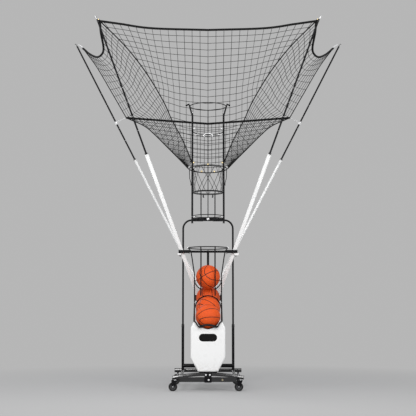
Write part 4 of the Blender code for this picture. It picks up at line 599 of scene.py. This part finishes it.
def soften(width, *names):
    """Rounded edges on solids that stay."""
    for name in names:
        bevel = nodes[name].modifiers.new("soft_edges", "BEVEL")
        bevel.width = width
        bevel.segments = 2
        bevel.limit_method = "ANGLE"
        bevel.angle_limit = radians(50)


def pole_point(pole, side, z):
    share = (z - pole.low.z) / (pole.tip.z - pole.low.z)
    return mirrored(pole.low.lerp(pole.tip, share), side)


def pole_axis(pole, side):
    return (mirrored(pole.tip, side) - mirrored(pole.low, side)).normalized()


def tower_point(angle, radius, z):
    return Vector((-radius * sin(angle), CHANNEL_Y - radius * cos(angle), z))


def smooth_through(points, t):
    """A point along a smooth curve through the points, t being the share of its length."""
    lengths = [(b - a).length for a, b in zip(points, points[1:])]
    target = t * sum(lengths)
    piece = 0
    while piece < len(lengths) - 1 and target > lengths[piece]:
        target -= lengths[piece]
        piece += 1
    s = min(1.0, target / lengths[piece])
    b, c = points[piece], points[piece + 1]
    a = points[piece - 1] if piece > 0 else b * 2 - c
    d = points[piece + 2] if piece + 2 < len(points) else c * 2 - b
    return 0.5 * ((2 * b) + (c - a) * s + (2 * a - 5 * b + 4 * c - d) * s ** 2
                  + (3 * b - a - 3 * c + d) * s ** 3)


def net_ring_height(angle):
    return NET_RING_Z + NET_RING_RADIUS * sin(NET_RING_TILT) * cos(angle)


def net_edge_point(angle):
    """A point of the net's edge, which is pulled up where the two front seams meet it."""
    seam = 2 * pi / NET_HOOK_COUNT
    pull = exp(-((abs(remainder(angle, 2 * pi)) - seam) / NET_SEAM_SPREAD) ** 2)
    return tower_point(angle, NET_RING_RADIUS + NET_RING_OFFSET,
                       net_ring_height(angle) + NET_EDGE_RISE + NET_SEAM_RISE * pull)


def sleeve_point(angle, share):
    """A point of the net inside the tower, from its hem on the middle ring to the net ring."""
    front = max(0.0, cos(angle)) ** 2
    top = net_ring_height(angle) - SLEEVE_DROP
    return tower_point(angle, SLEEVE_RADIUS + SLEEVE_FLARE * front * share,
                       SLEEVE_LOW_Z + (top - SLEEVE_LOW_Z) * share)


def arc(start, end):
    return lambda t: net_edge_point(start + (end - start) * t)


def path(points):
    points = [Vector(point) for point in points]
    return lambda t: smooth_through(points, t)


class Panel:
    """A net panel spanned by four edges; u runs across it and w from the ring upwards.

    The sag of its top and bottom edges fades towards its middle, faster with a higher fade.
    """

    def __init__(self, bottom, top, first, last, fade=1.0):
        self.bottom, self.top, self.first, self.last, self.fade = bottom, top, first, last, fade

    def at(self, u, w):
        low_sag = self.bottom(u) - (1 - u) * self.bottom(0) - u * self.bottom(1)
        high_sag = self.top(u) - (1 - u) * self.top(0) - u * self.top(1)
        return ((1 - u) * self.first(w) + u * self.last(w)
                + (1 - w) ** self.fade * low_sag + w ** self.fade * high_sag)

    def across_for(self, w, x):
        """The u at which the row w passes a distance x from the middle, or None."""
        if abs(self.at(1.0, w).x) < x:
            return None
        low, high = 0.0, 1.0
        for _ in range(24):
            middle = (low + high) / 2
            if abs(self.at(middle, w).x) < x:
                low = middle
            else:
                high = middle
        return (low + high) / 2


def net_panels():
    """The left half's front, side and rear panels."""
    step = 2 * pi / NET_HOOK_COUNT
    seam = path([net_edge_point(step), *FRONT_SEAM, FRONT_CORNER])
    rear_seam = path([net_edge_point(2 * step), *REAR_SEAM, LOW_CORNER])
    border = path([LOW_CORNER, *reversed(REAR_BORDER), REAR_CORNER])
    front = Panel(arc(0, step), path([NET_FRONT_TOP, *FRONT_EDGE, FRONT_CORNER]),
                  path([net_edge_point(0), NET_FRONT_TOP]), seam)
    side = Panel(arc(step, 2 * step), path([FRONT_CORNER, *SIDE_EDGE, REAR_CORNER]), seam,
                 lambda t: rear_seam(2 * t) if t <= 0.5 else border(2 * t - 1), SIDE_FADE)
    rear = Panel(arc(2 * step, pi), path([LOW_CORNER, NET_REAR_TOP]), rear_seam,
                 path([net_edge_point(pi), NET_REAR_TOP]))
    return front, side, rear


def row_line(panel, w, start=0.0, end=1.0):
    return [panel.at(start + (end - start) * step / LINE_STEPS, w) for step in range(LINE_STEPS + 1)]


def row_lines(panel, count, start=0.0, end=1.0):
    return [row_line(panel, row / count, start, end) for row in range(1, count)]


def column_line(panel, u, low=0.0, high=1.0):
    return [panel.at(u, low + (high - low) * step / LINE_STEPS) for step in range(LINE_STEPS + 1)]


def plumb_lines(panel, places):
    """Strands that hang from the top edge to the seam, leaning in a little as they fall."""
    lines = []
    for x in places:
        line = []
        for step in range(PLUMB_STEPS + 1):
            w = 1.0 - step / PLUMB_STEPS
            u = panel.across_for(w, x * (1.0 - COLUMN_LEAN * x * min(1.0 - w, 0.5)))
            if u is None:
                break
            line.append(panel.at(u, w))
        if len(line) > 1:
            lines.append(line)
    return lines


def front_quarter(front, side):
    """The strands, seam ropes, top bands and borders of a front quarter."""
    strands = row_lines(front, NET_ROWS) + row_lines(side, NET_ROWS, 0.0, 0.5)
    strands += plumb_lines(front, [number * CELL for number in range(int(FRONT_HALF_WIDTH / CELL) + 1)])
    strands += [column_line(side, number / SIDE_COLUMNS) for number in range(1, SIDE_COLUMNS // 2 + 1)]
    bands = [row_line(front, 1.0), row_line(side, 1.0, 0.0, 0.5)]
    return strands, [column_line(front, 1.0)], bands, []


def rear_quarter(side, rear):
    """The same for a rear quarter, whose side panel ends in a seam below and a border above."""
    strands = row_lines(side, NET_ROWS, 0.5, 1.0)
    strands += [column_line(side, number / SIDE_COLUMNS)
                for number in range(SIDE_COLUMNS // 2 + 1, SIDE_COLUMNS)]
    strands += row_lines(rear, REAR_ROWS)
    outward = Panel(lambda t: rear.bottom(1 - t), lambda t: rear.top(1 - t), rear.last, rear.first)
    strands += plumb_lines(outward, [(number + 0.5) * CELL for number in range(REAR_COLUMNS)])
    bands = [row_line(side, 1.0, 0.5, 1.0), row_line(rear, 1.0)]
    return strands, [column_line(side, 1.0, 0.0, 0.5)], bands, [column_line(side, 1.0, 0.5, 1.0)]


def placed(lines, side):
    return [([mirrored(point, side) for point in line], False) for line in lines]


def build_net():
    """The funnel net's front and rear quarters, on both sides."""
    front, side_panel, rear = net_panels()
    front_reach = (FRONT_CORNER - PULL_START).dot(FRONT_PULL)
    quarters = (("front", front_quarter(front, side_panel), FRONT_PULL * front_reach),
                ("rear", rear_quarter(side_panel, rear), REAR_PULL * REAR_PULL_LENGTH))
    kinds = (("strands", STRAND, 0, NET_CORD), ("seam_rope", SEAM_ROPE, 2, ROPE_CORD),
             ("top_band", BAND_ROPE, 2, ROPE_CORD), ("border", BORDER_ROPE, 2, ROPE_CORD))
    for row, line_sets, pull in quarters:
        for name, side in SIDES:
            for (kind, radius, level, material), lines in zip(kinds, line_sets):
                if not lines:
                    continue
                title = f"{row}_{name}_net_{kind}"
                piece = add_tubes(title, placed(lines, side), radius, level, material)
                if kind == "strands":
                    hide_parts(f"{row}_{name}_net")
                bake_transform(piece)


def build_net_hardware():
    """Brass beads and silver side hooks on the net ring, and the links down to the sleeve net."""
    beads = bmesh.new()
    side_hooks = bmesh.new()
    links = []
    for degrees in HOOK_DEGREES:
        angle = radians(degrees)
        on_ring = tower_point(angle, NET_RING_RADIUS, net_ring_height(angle))
        place = tower_point(angle, NET_RING_RADIUS + 0.002, net_edge_point(angle).z - 0.003)
        links.append(([on_ring, sleeve_point(angle, 1.0)], False))
        if abs(degrees) == SIDE_HOOK_DEGREES:
            side_hook_mesh(side_hooks, place)
            continue
        size = 0.0098
        if place.y > CHANNEL_Y:
            size = 0.0112
            place += FORWARD * 0.008 + UP * 0.004
        elif degrees:
            place += UP * 0.004
        sphere_mesh(beads, place, size, 16, 10, 0.85)
        if place.z - on_ring.z > 0.012:
            links.append(([on_ring, place], False))
    add_mesh("net_ring_beads", beads, BRASS, "base")
    add_mesh("net_side_hooks", side_hooks, BRIGHT_STEEL, "base")
    add_tubes("sleeve_links", links, LINK_CORD, 1, ROPE_CORD, "base")


def side_hook_mesh(bm, place):
    """A slanted hook with a ball at its low end, and the short wire that hangs from it."""
    out = ACROSS * copysign(1.0, place.x)
    low_end = place + out * 0.013 - UP * 0.006
    cone_between(bm, low_end, place - out * 0.018 + UP * 0.019, 0.0062, 0.005, 12)
    sphere_mesh(bm, low_end, 0.0068, 14, 8)
    cone_between(bm, place, place - UP * 0.056, 0.0024, sides=10)


def build_sleeve_net():
    """The net inside the tower: strands that wind both ways, between two hems."""
    lines = []
    for direction in (1, -1):
        for number in range(SLEEVE_COLUMNS):
            line = []
            for step in range(SLEEVE_STEPS + 1):
                share = step / SLEEVE_STEPS
                turn = number / SLEEVE_COLUMNS + direction * SLEEVE_TURNS * (share - 0.5)
                line.append(sleeve_point(2 * pi * turn, share))
            lines.append((line, False))
    piece = add_tubes("sleeve_net_mesh", lines, STRAND, 1, NET_CORD, "base")
    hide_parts("sleeve_net")
    hems = [([sleeve_point(2 * pi * step / HEM_STEPS, share) for step in range(HEM_STEPS)], True)
            for share in (0.0, 1.0)]
    add_tubes("sleeve_net_hems", hems, HEM_ROPE, 2, ROPE_CORD, "base")


def build_balls():
    for name, (body, angles) in BALLS.items():
        low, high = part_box(name)
        centre = (low + high) / 2
        centre.z = low.z + BALL_RADIUS
        bm = bmesh.new()
        bmesh.ops.create_icosphere(bm, subdivisions=5, radius=BALL_RADIUS - 0.0002)
        cover = ball_leather(name + "_cover", angles)
        ball = add_mesh(name + "_leather", bm, cover, slot="orange_ball")
        ball.location = centre
        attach(ball, body)
        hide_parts(name)


def build_caster(title):
    """Tyre with a groove, hub, axle bolts and the cap on the swivel."""
    low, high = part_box(f"{title}_caster_wheel")
    axle = (low + high) / 2
    half = (high.y - low.y) / 2
    outer = WHEEL_RADIUS * cos(pi / WHEEL_SIDES)
    tread = [(0.026, half * 0.9), (outer - 0.004, half), (outer - 0.0008, half * 0.72),
             (outer, half * 0.55), (outer, 0.0022), (outer - 0.0012, 0.0014)]
    tyre = add_mesh(f"{title}_tyre", turned_wheel(tread, axle, BACK, 64), TYRE, f"{title}_wheel")
    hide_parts(f"{title}_caster_wheel")
    hub = [(0.0058, half), (0.011, half), (0.012, half * 0.62),
           (0.022, half * 0.55), (0.0262, half * 0.9)]
    add_mesh(f"{title}_hub", turned_wheel(hub, axle, BACK, 48), HUB_PLASTIC, f"{title}_wheel")
    low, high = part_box(f"{title}_caster_fork")
    bm = bmesh.new()
    for outward, y in ((FORWARD, low.y), (BACK, high.y)):
        bolt_mesh(bm, (axle.x, y, axle.z), outward, 0.0052, 0.004)
    pivot = Vector((axle.x + CASTER_TRAIL, axle.y, FORK_TOP_Z))
    cone_between(bm, pivot, pivot + UP * 0.004, 0.0165, 0.015, 32)
    add_mesh(f"{title}_caster_hardware", bm, TURNED_STEEL, f"{title}_fork")


def build_base_details():
    """Bolts on the centre clamp, a stud on the front beam, caps and weld beads on the tubes."""
    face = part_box("centre_clamp")[0].y
    places = [((x, face, z), FORWARD) for x, z in ((-0.02, 0.154), (0.018, 0.154), (0.006, 0.106))]
    bolts("clamp_bolts", places, BRIGHT_STEEL, "base", 0.0062, 0.0045)
    stud = Vector((0.138, BEAM_FACE_Y, 0.1036))
    add_rod("beam_stud", stud, stud + FORWARD * 0.01, 0.01, DULL_BRASS, "base", 0.0085)
    rear_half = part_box("base_frame")[1].x
    bm = bmesh.new()
    for side in (-1, 1):
        for inner, outer, y, z, radius, end_radius in (
                (rear_half - 0.006, rear_half - 0.0002, REAR_CASTER_Y, REAR_TUBE_Z, 0.0215, 0.02),
                (ARCH_HALF - 0.004, ARCH_HALF + 0.001, FRONT_CASTER_Y, ARCH_END_Z, 0.0186, 0.0172)):
            cone_between(bm, (inner * side, y, z), (outer * side, y, z), radius, end_radius, 32)
    add_mesh("tube_end_caps", bm, DARK_PLASTIC, "base")
    welds = []
    for x in (-FRAME_X, FRAME_X):
        for y in (FRONT_CASTER_Y + ARCH_RADIUS + 0.0005, REAR_CASTER_Y - REAR_TUBE_RADIUS - 0.0005):
            welds.append((circle(Vector((x, y, RAIL_Z)), RAIL_RADIUS, 24, ACROSS, UP), True))
    add_tubes("base_welds", welds, 0.0018, 1, GLOSS_BLACK, "base")


def build_frame_details():
    """Clamps at the crossbar, collars on the sockets, grips on the handle bar, and bracket bolts."""
    for name, side in SIDES:
        post = Vector((-FRAME_X * side, FRAME_Y, 0.0))
        clamp = post + UP * CROSSBAR_Z
        add_rod(f"{name}_crossbar_clamp", clamp - UP * 0.016, clamp + UP * 0.017,
                0.015, ALLOY, "base", sides=32)
        collar = post + UP * SOCKET_TOP_Z
        add_rod(f"{name}_socket_collar", collar - UP * 0.015, collar + UP * 0.015,
                0.0148, DARK_PLASTIC, "base", 0.0135, 32)
        bolts(f"{name}_socket_bolt", [(collar + FORWARD * 0.014, FORWARD)],
              DARK_PLASTIC, "base", 0.0042, 0.004)
        grip = Vector((-0.05 * side, FRAME_Y, HANDLE_TOP_Z))
        add_rod(f"{name}_handle_grip", grip, grip - ACROSS * 0.1 * side, 0.0125, FOAM, "base", sides=32)
        build_guide_block(name, side)
    bolts("tower_bracket_bolt", [((0, 0.1447, TOWER_LOW_RING_Z), FORWARD)], BRIGHT_STEEL, "base",
          0.0105, 0.008)
    ends = [((-0.1658 * side, y, BRACKET_BOLT_Z), (-side, 0, 0))
            for _, side in SIDES for y in (-0.125, 0.05)]
    bolts("tower_bracket_side_bolts", ends, STEEL, "base", 0.0052, 0.005)


def build_guide_block(name, side):
    """The white block clamped under the front end of a pole's rest."""
    low = Vector((-0.309, -0.005, 1.323))
    high = Vector((-0.272, 0.024, 1.342))
    bm = bmesh.new()
    for vertex in bmesh.ops.create_cube(bm, size=1.0)["verts"]:
        vertex.co = mirrored((low + high) / 2 + (high - low) * vertex.co, side)
    bmesh.ops.bevel(bm, geom=bm.edges[:], offset=0.003, segments=3, affect="EDGES", profile=0.5)
    add_mesh(f"{name}_guide_block", bm, WHITE_PLASTIC, "base")


def build_pole_details():
    for name, side in SIDES:
        build_pole(f"front_{name}", FRONT_POLE, side)
        build_tip_hook(f"front_{name}", side)
        build_pole(f"rear_{name}", REAR_POLE, side)
        build_tip_clip(f"rear_{name}", side)
        foot = pole_point(FRONT_POLE, side, POLE_BOLT_Z)
        outward = square_to(pole_axis(FRONT_POLE, side))
        bolts(f"{name}_pole_bolt", [(foot + outward * 0.0158, outward)],
              BRIGHT_STEEL, "base", 0.0045, 0.004)


def square_to(axis):
    """The direction nearest to straight forward that is square to an axis."""
    return (FORWARD - axis * FORWARD.dot(axis)).normalized()


def build_pole(title, pole, side):
    """The lock knob at a pole's mouth, the spring buttons along its black tube and its tip's cap."""
    axis = pole_axis(pole, side)
    mouth = pole_point(pole, side, pole.mouth_z)
    outward = square_to(axis)
    body = f"{title}_pole"
    bm = bmesh.new()
    start = mouth + axis * 0.008 + outward * (pole.radius + 0.0045)
    cone_between(bm, start, start + outward * 0.01, 0.0028, sides=16)
    cone_between(bm, start + outward * 0.008, start + outward * 0.018, 0.008, 0.0072, 12)
    add_mesh(f"{title}_lock_knob", bm, DARK_PLASTIC, "base")
    bm = bmesh.new()
    for number in range(BUTTON_COUNT):
        place = mouth + axis * (FIRST_BUTTON + number * BUTTON_PITCH) + outward * (pole.radius - 0.0008)
        cone_between(bm, place, place + outward * 0.0014, 0.0026, 0.0022, 12)
    add_mesh(f"{title}_spring_buttons", bm, STEEL, body)
    end = mirrored(pole.tip, side)
    add_rod(f"{title}_tip_cap", end - axis * 0.036, end - axis * 0.008, pole.radius + 0.0006,
            DARK_PLASTIC, body)


def build_tip_hook(title, side):
    """The silver hook at a front pole's tip, the bead on it and the cord to the net's corner."""
    body = f"{title}_pole"
    end = mirrored(FRONT_POLE.tip, side)
    points = [end - UP * 0.004, end + Vector((-0.009 * side, 0, 0.011)),
              end + Vector((-0.024 * side, 0, 0.029))]
    wire(f"{title}_silver_hook", points, 0.0054, BRIGHT_STEEL, body)
    bm = bmesh.new()
    sphere_mesh(bm, end + Vector((0.012 * side, -0.0015, -0.003)), 0.0068, 16, 10)
    add_mesh(f"{title}_hook_bead", bm, BRASS, body)
    tie = [end + Vector((0.014 * side, 0.002, -0.005)), mirrored(FRONT_CORNER, side)]
    wire(f"{title}_corner_tie", tie, TIE_ROPE, ROPE_CORD, body)


def build_tip_clip(title, side):
    """The silver clip from a rear pole's tip to the net's rear corner."""
    body = f"{title}_pole"
    corner = mirrored(REAR_CORNER, side)
    points = [mirrored(point, side)
              for point in ((-1.429, 0.6, 3.682), (-1.41, 0.592, 3.67), (-1.388, 0.58, 3.653))]
    points.append(corner + UP * 0.004)
    wire(f"{title}_silver_clip", points, 0.0054, BRIGHT_STEEL, body)
    eye = circle(corner + UP * 0.003, 0.008, 20, ACROSS, UP)
    add_tubes(f"{title}_clip_eye", [(eye, True)], 0.0026, 2, BRIGHT_STEEL, body)


def build_sensor():
    """The silver horseshoe between the tower's posts, and the lead to each side of it."""
    points = []
    for degrees in range(230, -51, -20):
        angle = radians(degrees)
        points.append(Vector((SENSOR_HALF_WIDTH * cos(angle), SENSOR_Y,
                              SENSOR_Z + SENSOR_HALF_HEIGHT * sin(angle))))
    add_tubes("sensor_arch", [(points, False)], 0.0056, 3, BRIGHT_STEEL, "base")
    for name, side in SIDES:
        lead = [Vector((-x * side, CHANNEL_Y - forward, z))
                for x, forward, z in ((0.15, 0.004, 2.526), (0.126, 0.01, 2.529), (0.098, 0.006, 2.54))]
        wire(f"{name}_sensor_lead", lead, 0.003, BRIGHT_STEEL, "base")


def build_tower_details():
    """Bolts on the posts' inner sides, buttons at their tops, plugs below and the sleeve's hooks."""
    buttons = bmesh.new()
    plugs = bmesh.new()
    for _, side in SIDES:
        out = -ACROSS * side
        middle = Vector((0.0, CHANNEL_Y, 0.0))
        for outer, inner, z, radius in ((0.151, 0.133, 2.597, 0.0058), (0.161, 0.152, 2.761, 0.0062),
                                        (0.151, 0.1365, BRACKET_BOLT_Z, 0.0082)):
            level = middle + UP * z
            head = level + out * inner
            cone_between(buttons, level + out * outer, head, radius, sides=6)
            cone_between(buttons, head, head - out * 0.003, radius * 0.55, sides=12)
        tip = middle + out * 0.2255 + UP * 2.8318
        cone_between(buttons, tip, tip + out * 0.003 - UP * 0.0012, 0.0062, 0.005, 20)
        foot = middle + out * TOWER_HALF + UP * TOWER_LOW_Z
        cone_between(plugs, foot - UP * 0.0002, foot + UP * 0.007, 0.0102)
    add_mesh("tower_buttons", buttons, BRIGHT_STEEL, "base")
    add_mesh("post_plugs", plugs, DARK_PLASTIC, "base")
    for name, side in SIDES:
        hang = Vector((-0.0485 * side, CHANNEL_Y + 0.14, TOWER_MID_RING_Z))
        hook = [hang, hang - UP * 0.015, hang - UP * 0.027,
                hang - UP * 0.029 + Vector((0.007 * side, -0.004, 0))]
        wire(f"{name}_sleeve_hook", hook, 0.0062, DARK_PLASTIC, "base")


def build_cage_details():
    """Foam on the guard's low band, weld beads at the cage's crossings and the ends of its ring."""
    band_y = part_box("guard_hoop")[0].y + 0.023
    points = []
    for step in range(13):
        share = step / 6 - 1
        lift = 1 - share ** 2
        points.append(Vector((0.08 * share, band_y - 0.014 * lift, 0.606 + 0.0205 * lift)))
    add_tubes("guard_foam", [(points, False)], 0.01, 3, FOAM, "launcher")
    beads = bmesh.new()
    for angle, radius, z in cage_joints():
        sphere_mesh(beads, tower_point(angle, radius, z), 0.007, 12, 8)
    add_mesh("cage_welds", beads, BLACK_COAT, "launcher")
    ends = [((-0.199 * side, CHANNEL_Y - 0.005, 1.388), FORWARD) for _, side in SIDES]
    bolts("cage_ring_ends", ends, BRIGHT_STEEL, "launcher", 0.0062, 0.005)


def cage_joints():
    """Angle, radius and height of each crossing of the cage's wires with its two rings."""
    right = pi / 2
    top = asin(CAGE_WIRE_X / CAGE_TOP_RADIUS)
    low = asin(CAGE_WIRE_X / CAGE_LOW_RADIUS)
    joints = [(angle, CAGE_TOP_RADIUS, CAGE_TOP_Z)
              for angle in (right, -right, top, -top, pi - top, pi + top)]
    joints += [(angle, CAGE_LOW_RADIUS, CAGE_LOW_Z)
               for angle in (right, -right, pi - low, pi + low)]
    return joints


def build_cover_details():
    """White tabs in the scoop, cover screws, and the rim round the window."""
    for name, side in SIDES:
        bm = bmesh.new()
        corners = [Vector((x * side, -0.5, z))
                   for x, z in ((-0.094, 0.667), (-0.124, 0.667), (-0.124, 0.655), (-0.094, 0.629))]
        front = [bm.verts.new(corner) for corner in corners]
        back = [bm.verts.new(corner + BACK * 0.003) for corner in corners]
        bm.faces.new(front)
        bm.faces.new(list(reversed(back)))
        for number in range(4):
            following = (number + 1) % 4
            bm.faces.new((front[number], back[number], back[following], front[following]))
        add_mesh(f"{name}_cover_tab", bm, COVER_WHITE, "launcher", smooth=False)
    screws = []
    for side in (-1, 1):
        for z in (0.34, 0.57):
            screws.append(((0.1655 * side, -0.262, z), (side, 0, 0)))
            screws.append(((0.15 * side, -0.2, z - 0.01), (side, 0, 0)))
    bolts("cover_screws", screws, STEEL, "launcher", 0.0048, 0.0028)
    rim = []
    for way in (1, -1):
        for step in range(RIM_STEPS + 1):
            angle = pi * (step / RIM_STEPS - 0.5)
            x = way * (WINDOW_STRAIGHT + WINDOW_RADIUS * cos(angle))
            z = WINDOW_Z + way * WINDOW_RADIUS * sin(angle)
            share = (z - COVER_LOW_Z) / (COVER_TOP_Z - COVER_LOW_Z)
            rim.append(Vector((x, COVER_FRONT_LOW_Y - COVER_LEAN * share - 0.0002, z)))
    add_tubes("window_rim", [(rim, True)], 0.0011, 2, WINDOW_PLASTIC, "launcher")


def build_drive_details():
    """Grooved tyres and turned hubs on the shooting wheels, and the motor's fins."""
    for name, _ in SIDES:
        low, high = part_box(f"{name}_shooting_wheel")
        centre = (low + high) / 2
        half = (high.x - low.x) / 2
        outer = SHOOTING_WHEEL_RADIUS
        groove = half * 0.5
        tread = [(0.046, half), (outer - 0.004, half), (outer, half - 0.004),
                 (outer, groove + 0.0018), (outer - 0.002, groove + 0.0009),
                 (outer - 0.002, groove - 0.0009), (outer, groove - 0.0018),
                 (outer, 0.0018), (outer - 0.002, 0.0009)]
        tyre = add_mesh(f"{name}_shooting_tyre", turned_wheel(tread, centre, ACROSS, 64), WHEEL_RUBBER,
                        "shooting_wheels")
        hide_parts(f"{name}_shooting_wheel")
        hub = [(0.0083, half), (0.02, half), (0.022, half * 0.4),
               (0.04, half * 0.4), (0.0462, half * 0.9)]
        add_mesh(f"{name}_shooting_hub", turned_wheel(hub, centre, ACROSS, 48), TURNED_STEEL,
                 "shooting_wheels")
    low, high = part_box("shooting_motor")
    centre = (low + high) / 2
    fins = []
    for number in range(9):
        centre.x = low.x + 0.015 + number * 0.011
        fins.append((circle(centre, 0.042, 40, BACK, UP), True))
    add_tubes("motor_fins", fins, 0.0016, 1, ALLOY, "launcher")


def build_box_details():
    """The control box's vents, handle, corner screws, two buttons and the bezel of its switch."""
    low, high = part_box("control_box")
    back = high.y
    grille = []
    for number in range(9):
        z = low.z + 0.045 + number * 0.011
        grille.append(([Vector((x, back + 0.0004, z)) for x in (-0.085, 0.085)], False))
    add_tubes("box_vents", grille, 0.0021, 1, GREY_PLASTIC, "base")
    handle = [Vector((x, 0.31, high.z + rise))
              for x, rise in ((-0.06, -0.001), (-0.06, 0.028), (0.06, 0.028), (0.06, -0.001))]
    wire("box_handle", handle, 0.0045, STEEL, "base")
    corners = [((x, back, z), BACK) for x in (low.x + 0.016, high.x - 0.016)
               for z in (low.z + 0.016, high.z - 0.016)]
    bolts("box_screws", corners, STEEL, "base", 0.0042, 0.0026)
    button = [(0.0, 0.006), (0.0065, 0.0055), (0.0075, 0.004), (0.0075, 0.0), (0.0, 0.0)]
    for title, x, material in (("start_button", -0.015, GREEN_PLASTIC),
                               ("stop_button", 0.015, RED_PLASTIC)):
        add_mesh(title, lathe(button, (x, back, 0.37), BACK, 32), material, "base")
    bezel = [Vector((x, back + 0.001, z))
             for x, z in ((-0.082, 0.355), (-0.082, 0.385), (-0.038, 0.385), (-0.038, 0.355))]
    add_tubes("switch_bezel", [(bezel, True)], 0.0022, 2, GREY_PLASTIC, "base")


def paint_solids():
    repaint(GLOSS_BLACK, "base_frame")
    repaint(BLACK_COAT, "centre_clamp", "frame_sockets", "handle_frame", "mast_and_crossbar", "tower_frame",
            "tower_bracket", "net_ring", "ramp_rails", "ball_cage", "guard_hoop")
    repaint(ALLOY, "pole_socket", "launcher_chassis", "shooting_motor")
    repaint(DARK_PLASTIC, "turntable_motor", "control_box", "power_switch", "power_inlet")
    repaint(TURNED_STEEL, "turntable", "wheel_shaft", "motor_pulley")
    repaint(WINDOW_PLASTIC, "cover_window")
    repaint(COVER_WHITE, "front_cover", "rear_cover")
    repaint(TYRE, "drive_belt", "feed_paddle")
    for name, _ in SIDES:
        repaint(BRIGHT_STEEL, f"{name}_outrigger")
        for row in ("front", "rear"):
            repaint(BLACK_COAT, f"{row}_{name}_caster_fork", f"{row}_{name}_upper_pole")
            repaint(WHITE_COAT, f"{row}_{name}_lower_pole")
            repaint(DARK_PLASTIC, f"{row}_{name}_pole_collar")
    soften(0.0012, "centre_clamp", "tower_bracket", "pole_socket", "control_box", "power_switch")


def add_lamp(name, place, aim, size, power):
    lamp = bpy.data.lights.new(name, "AREA")
    lamp.shape = "RECTANGLE"
    lamp.size, lamp.size_y = size
    lamp.energy = power
    obj = new_object(name, lamp)
    obj.location = place
    obj.rotation_euler = (Vector(aim) - Vector(place)).to_track_quat("-Z", "Y").to_euler()


def build_floor():
    """A pale floor that keeps the shadow and fades into the background with distance."""
    bm = bmesh.new()
    bmesh.ops.create_circle(bm, cap_ends=True, segments=96, radius=FLOOR_RADIUS)
    s = Shader("pale_floor", PALE_COLOUR, 0.9)
    s.blotches(s.noise(2.0, 3.0), 0.4, 0.7, 0.2, shade(PALE_COLOUR, 1.0, -0.02))
    glow = s.node("ShaderNodeEmission", Color=(*PALE_COLOUR, 1.0), Strength=1.0)
    away = s.node("ShaderNodeVectorMath", Vector=s.place)
    away.operation = "LENGTH"
    share = s.span(away.outputs["Value"], SHADOW_REACH, SHADOW_END, 0.25, 1.0)
    show_to_camera(s.tree, "Material Output", s.shader.outputs["BSDF"], glow.outputs["Emission"], share)
    add_mesh("floor", bm, s.material)


def build_world():
    """Soft light from all round, while the camera sees the floor's pale colour in its place."""
    world = bpy.data.worlds.new("studio")
    bpy.context.scene.world = world
    world.use_nodes = True
    tree = world.node_tree
    light = fill(tree.nodes["Background"], Color=(0.93, 0.95, 1.0, 1.0), Strength=0.4)
    pale = fill(tree.nodes.new("ShaderNodeBackground"), Color=(*PALE_COLOUR, 1.0), Strength=1.0)
    show_to_camera(tree, "World Output", light.outputs["Background"], pale.outputs["Background"])


def show_to_camera(tree, output, lit, shown, share=None):
    """Camera, glossy and transmission rays get the shown shader or a share of it, others the lit one."""
    rays = tree.nodes.new("ShaderNodeLightPath").outputs
    seen = math_node(tree, "MAXIMUM", rays["Is Camera Ray"], rays["Is Glossy Ray"])
    seen = math_node(tree, "MAXIMUM", seen, rays["Is Transmission Ray"])
    if share is not None:
        seen = math_node(tree, "MULTIPLY", seen, share)
    mix = fill(tree.nodes.new("ShaderNodeMixShader"), Fac=seen)
    feed(mix.inputs[1], lit)
    feed(mix.inputs[2], shown)
    fill(tree.nodes[output], Surface=mix.outputs["Shader"])


def build_camera():
    data = bpy.data.cameras.new("camera")
    data.sensor_width = SENSOR
    data.lens = FOCAL_PIXELS / IMAGE_SIZE * SENSOR
    camera = new_object("camera", data)
    camera.location = CAMERA_PLACE
    camera.rotation_euler = (pi / 2 + CAMERA_PITCH, 0.0, 0.0)
    bpy.context.scene.camera = camera
    bpy.context.scene.view_settings.view_transform = "Standard"


def main():
    build_camera()
    paint_solids()
    build_net()
    build_net_hardware()
    build_sleeve_net()
    build_balls()
    for row in ("front", "rear"):
        for name, _ in SIDES:
            build_caster(f"{row}_{name}")
    build_base_details()
    build_frame_details()
    build_pole_details()
    build_sensor()
    build_tower_details()
    build_cage_details()
    build_cover_details()
    build_drive_details()
    build_box_details()
    build_floor()
    build_world()
    for lamp in LAMPS:
        add_lamp(*lamp)


main()
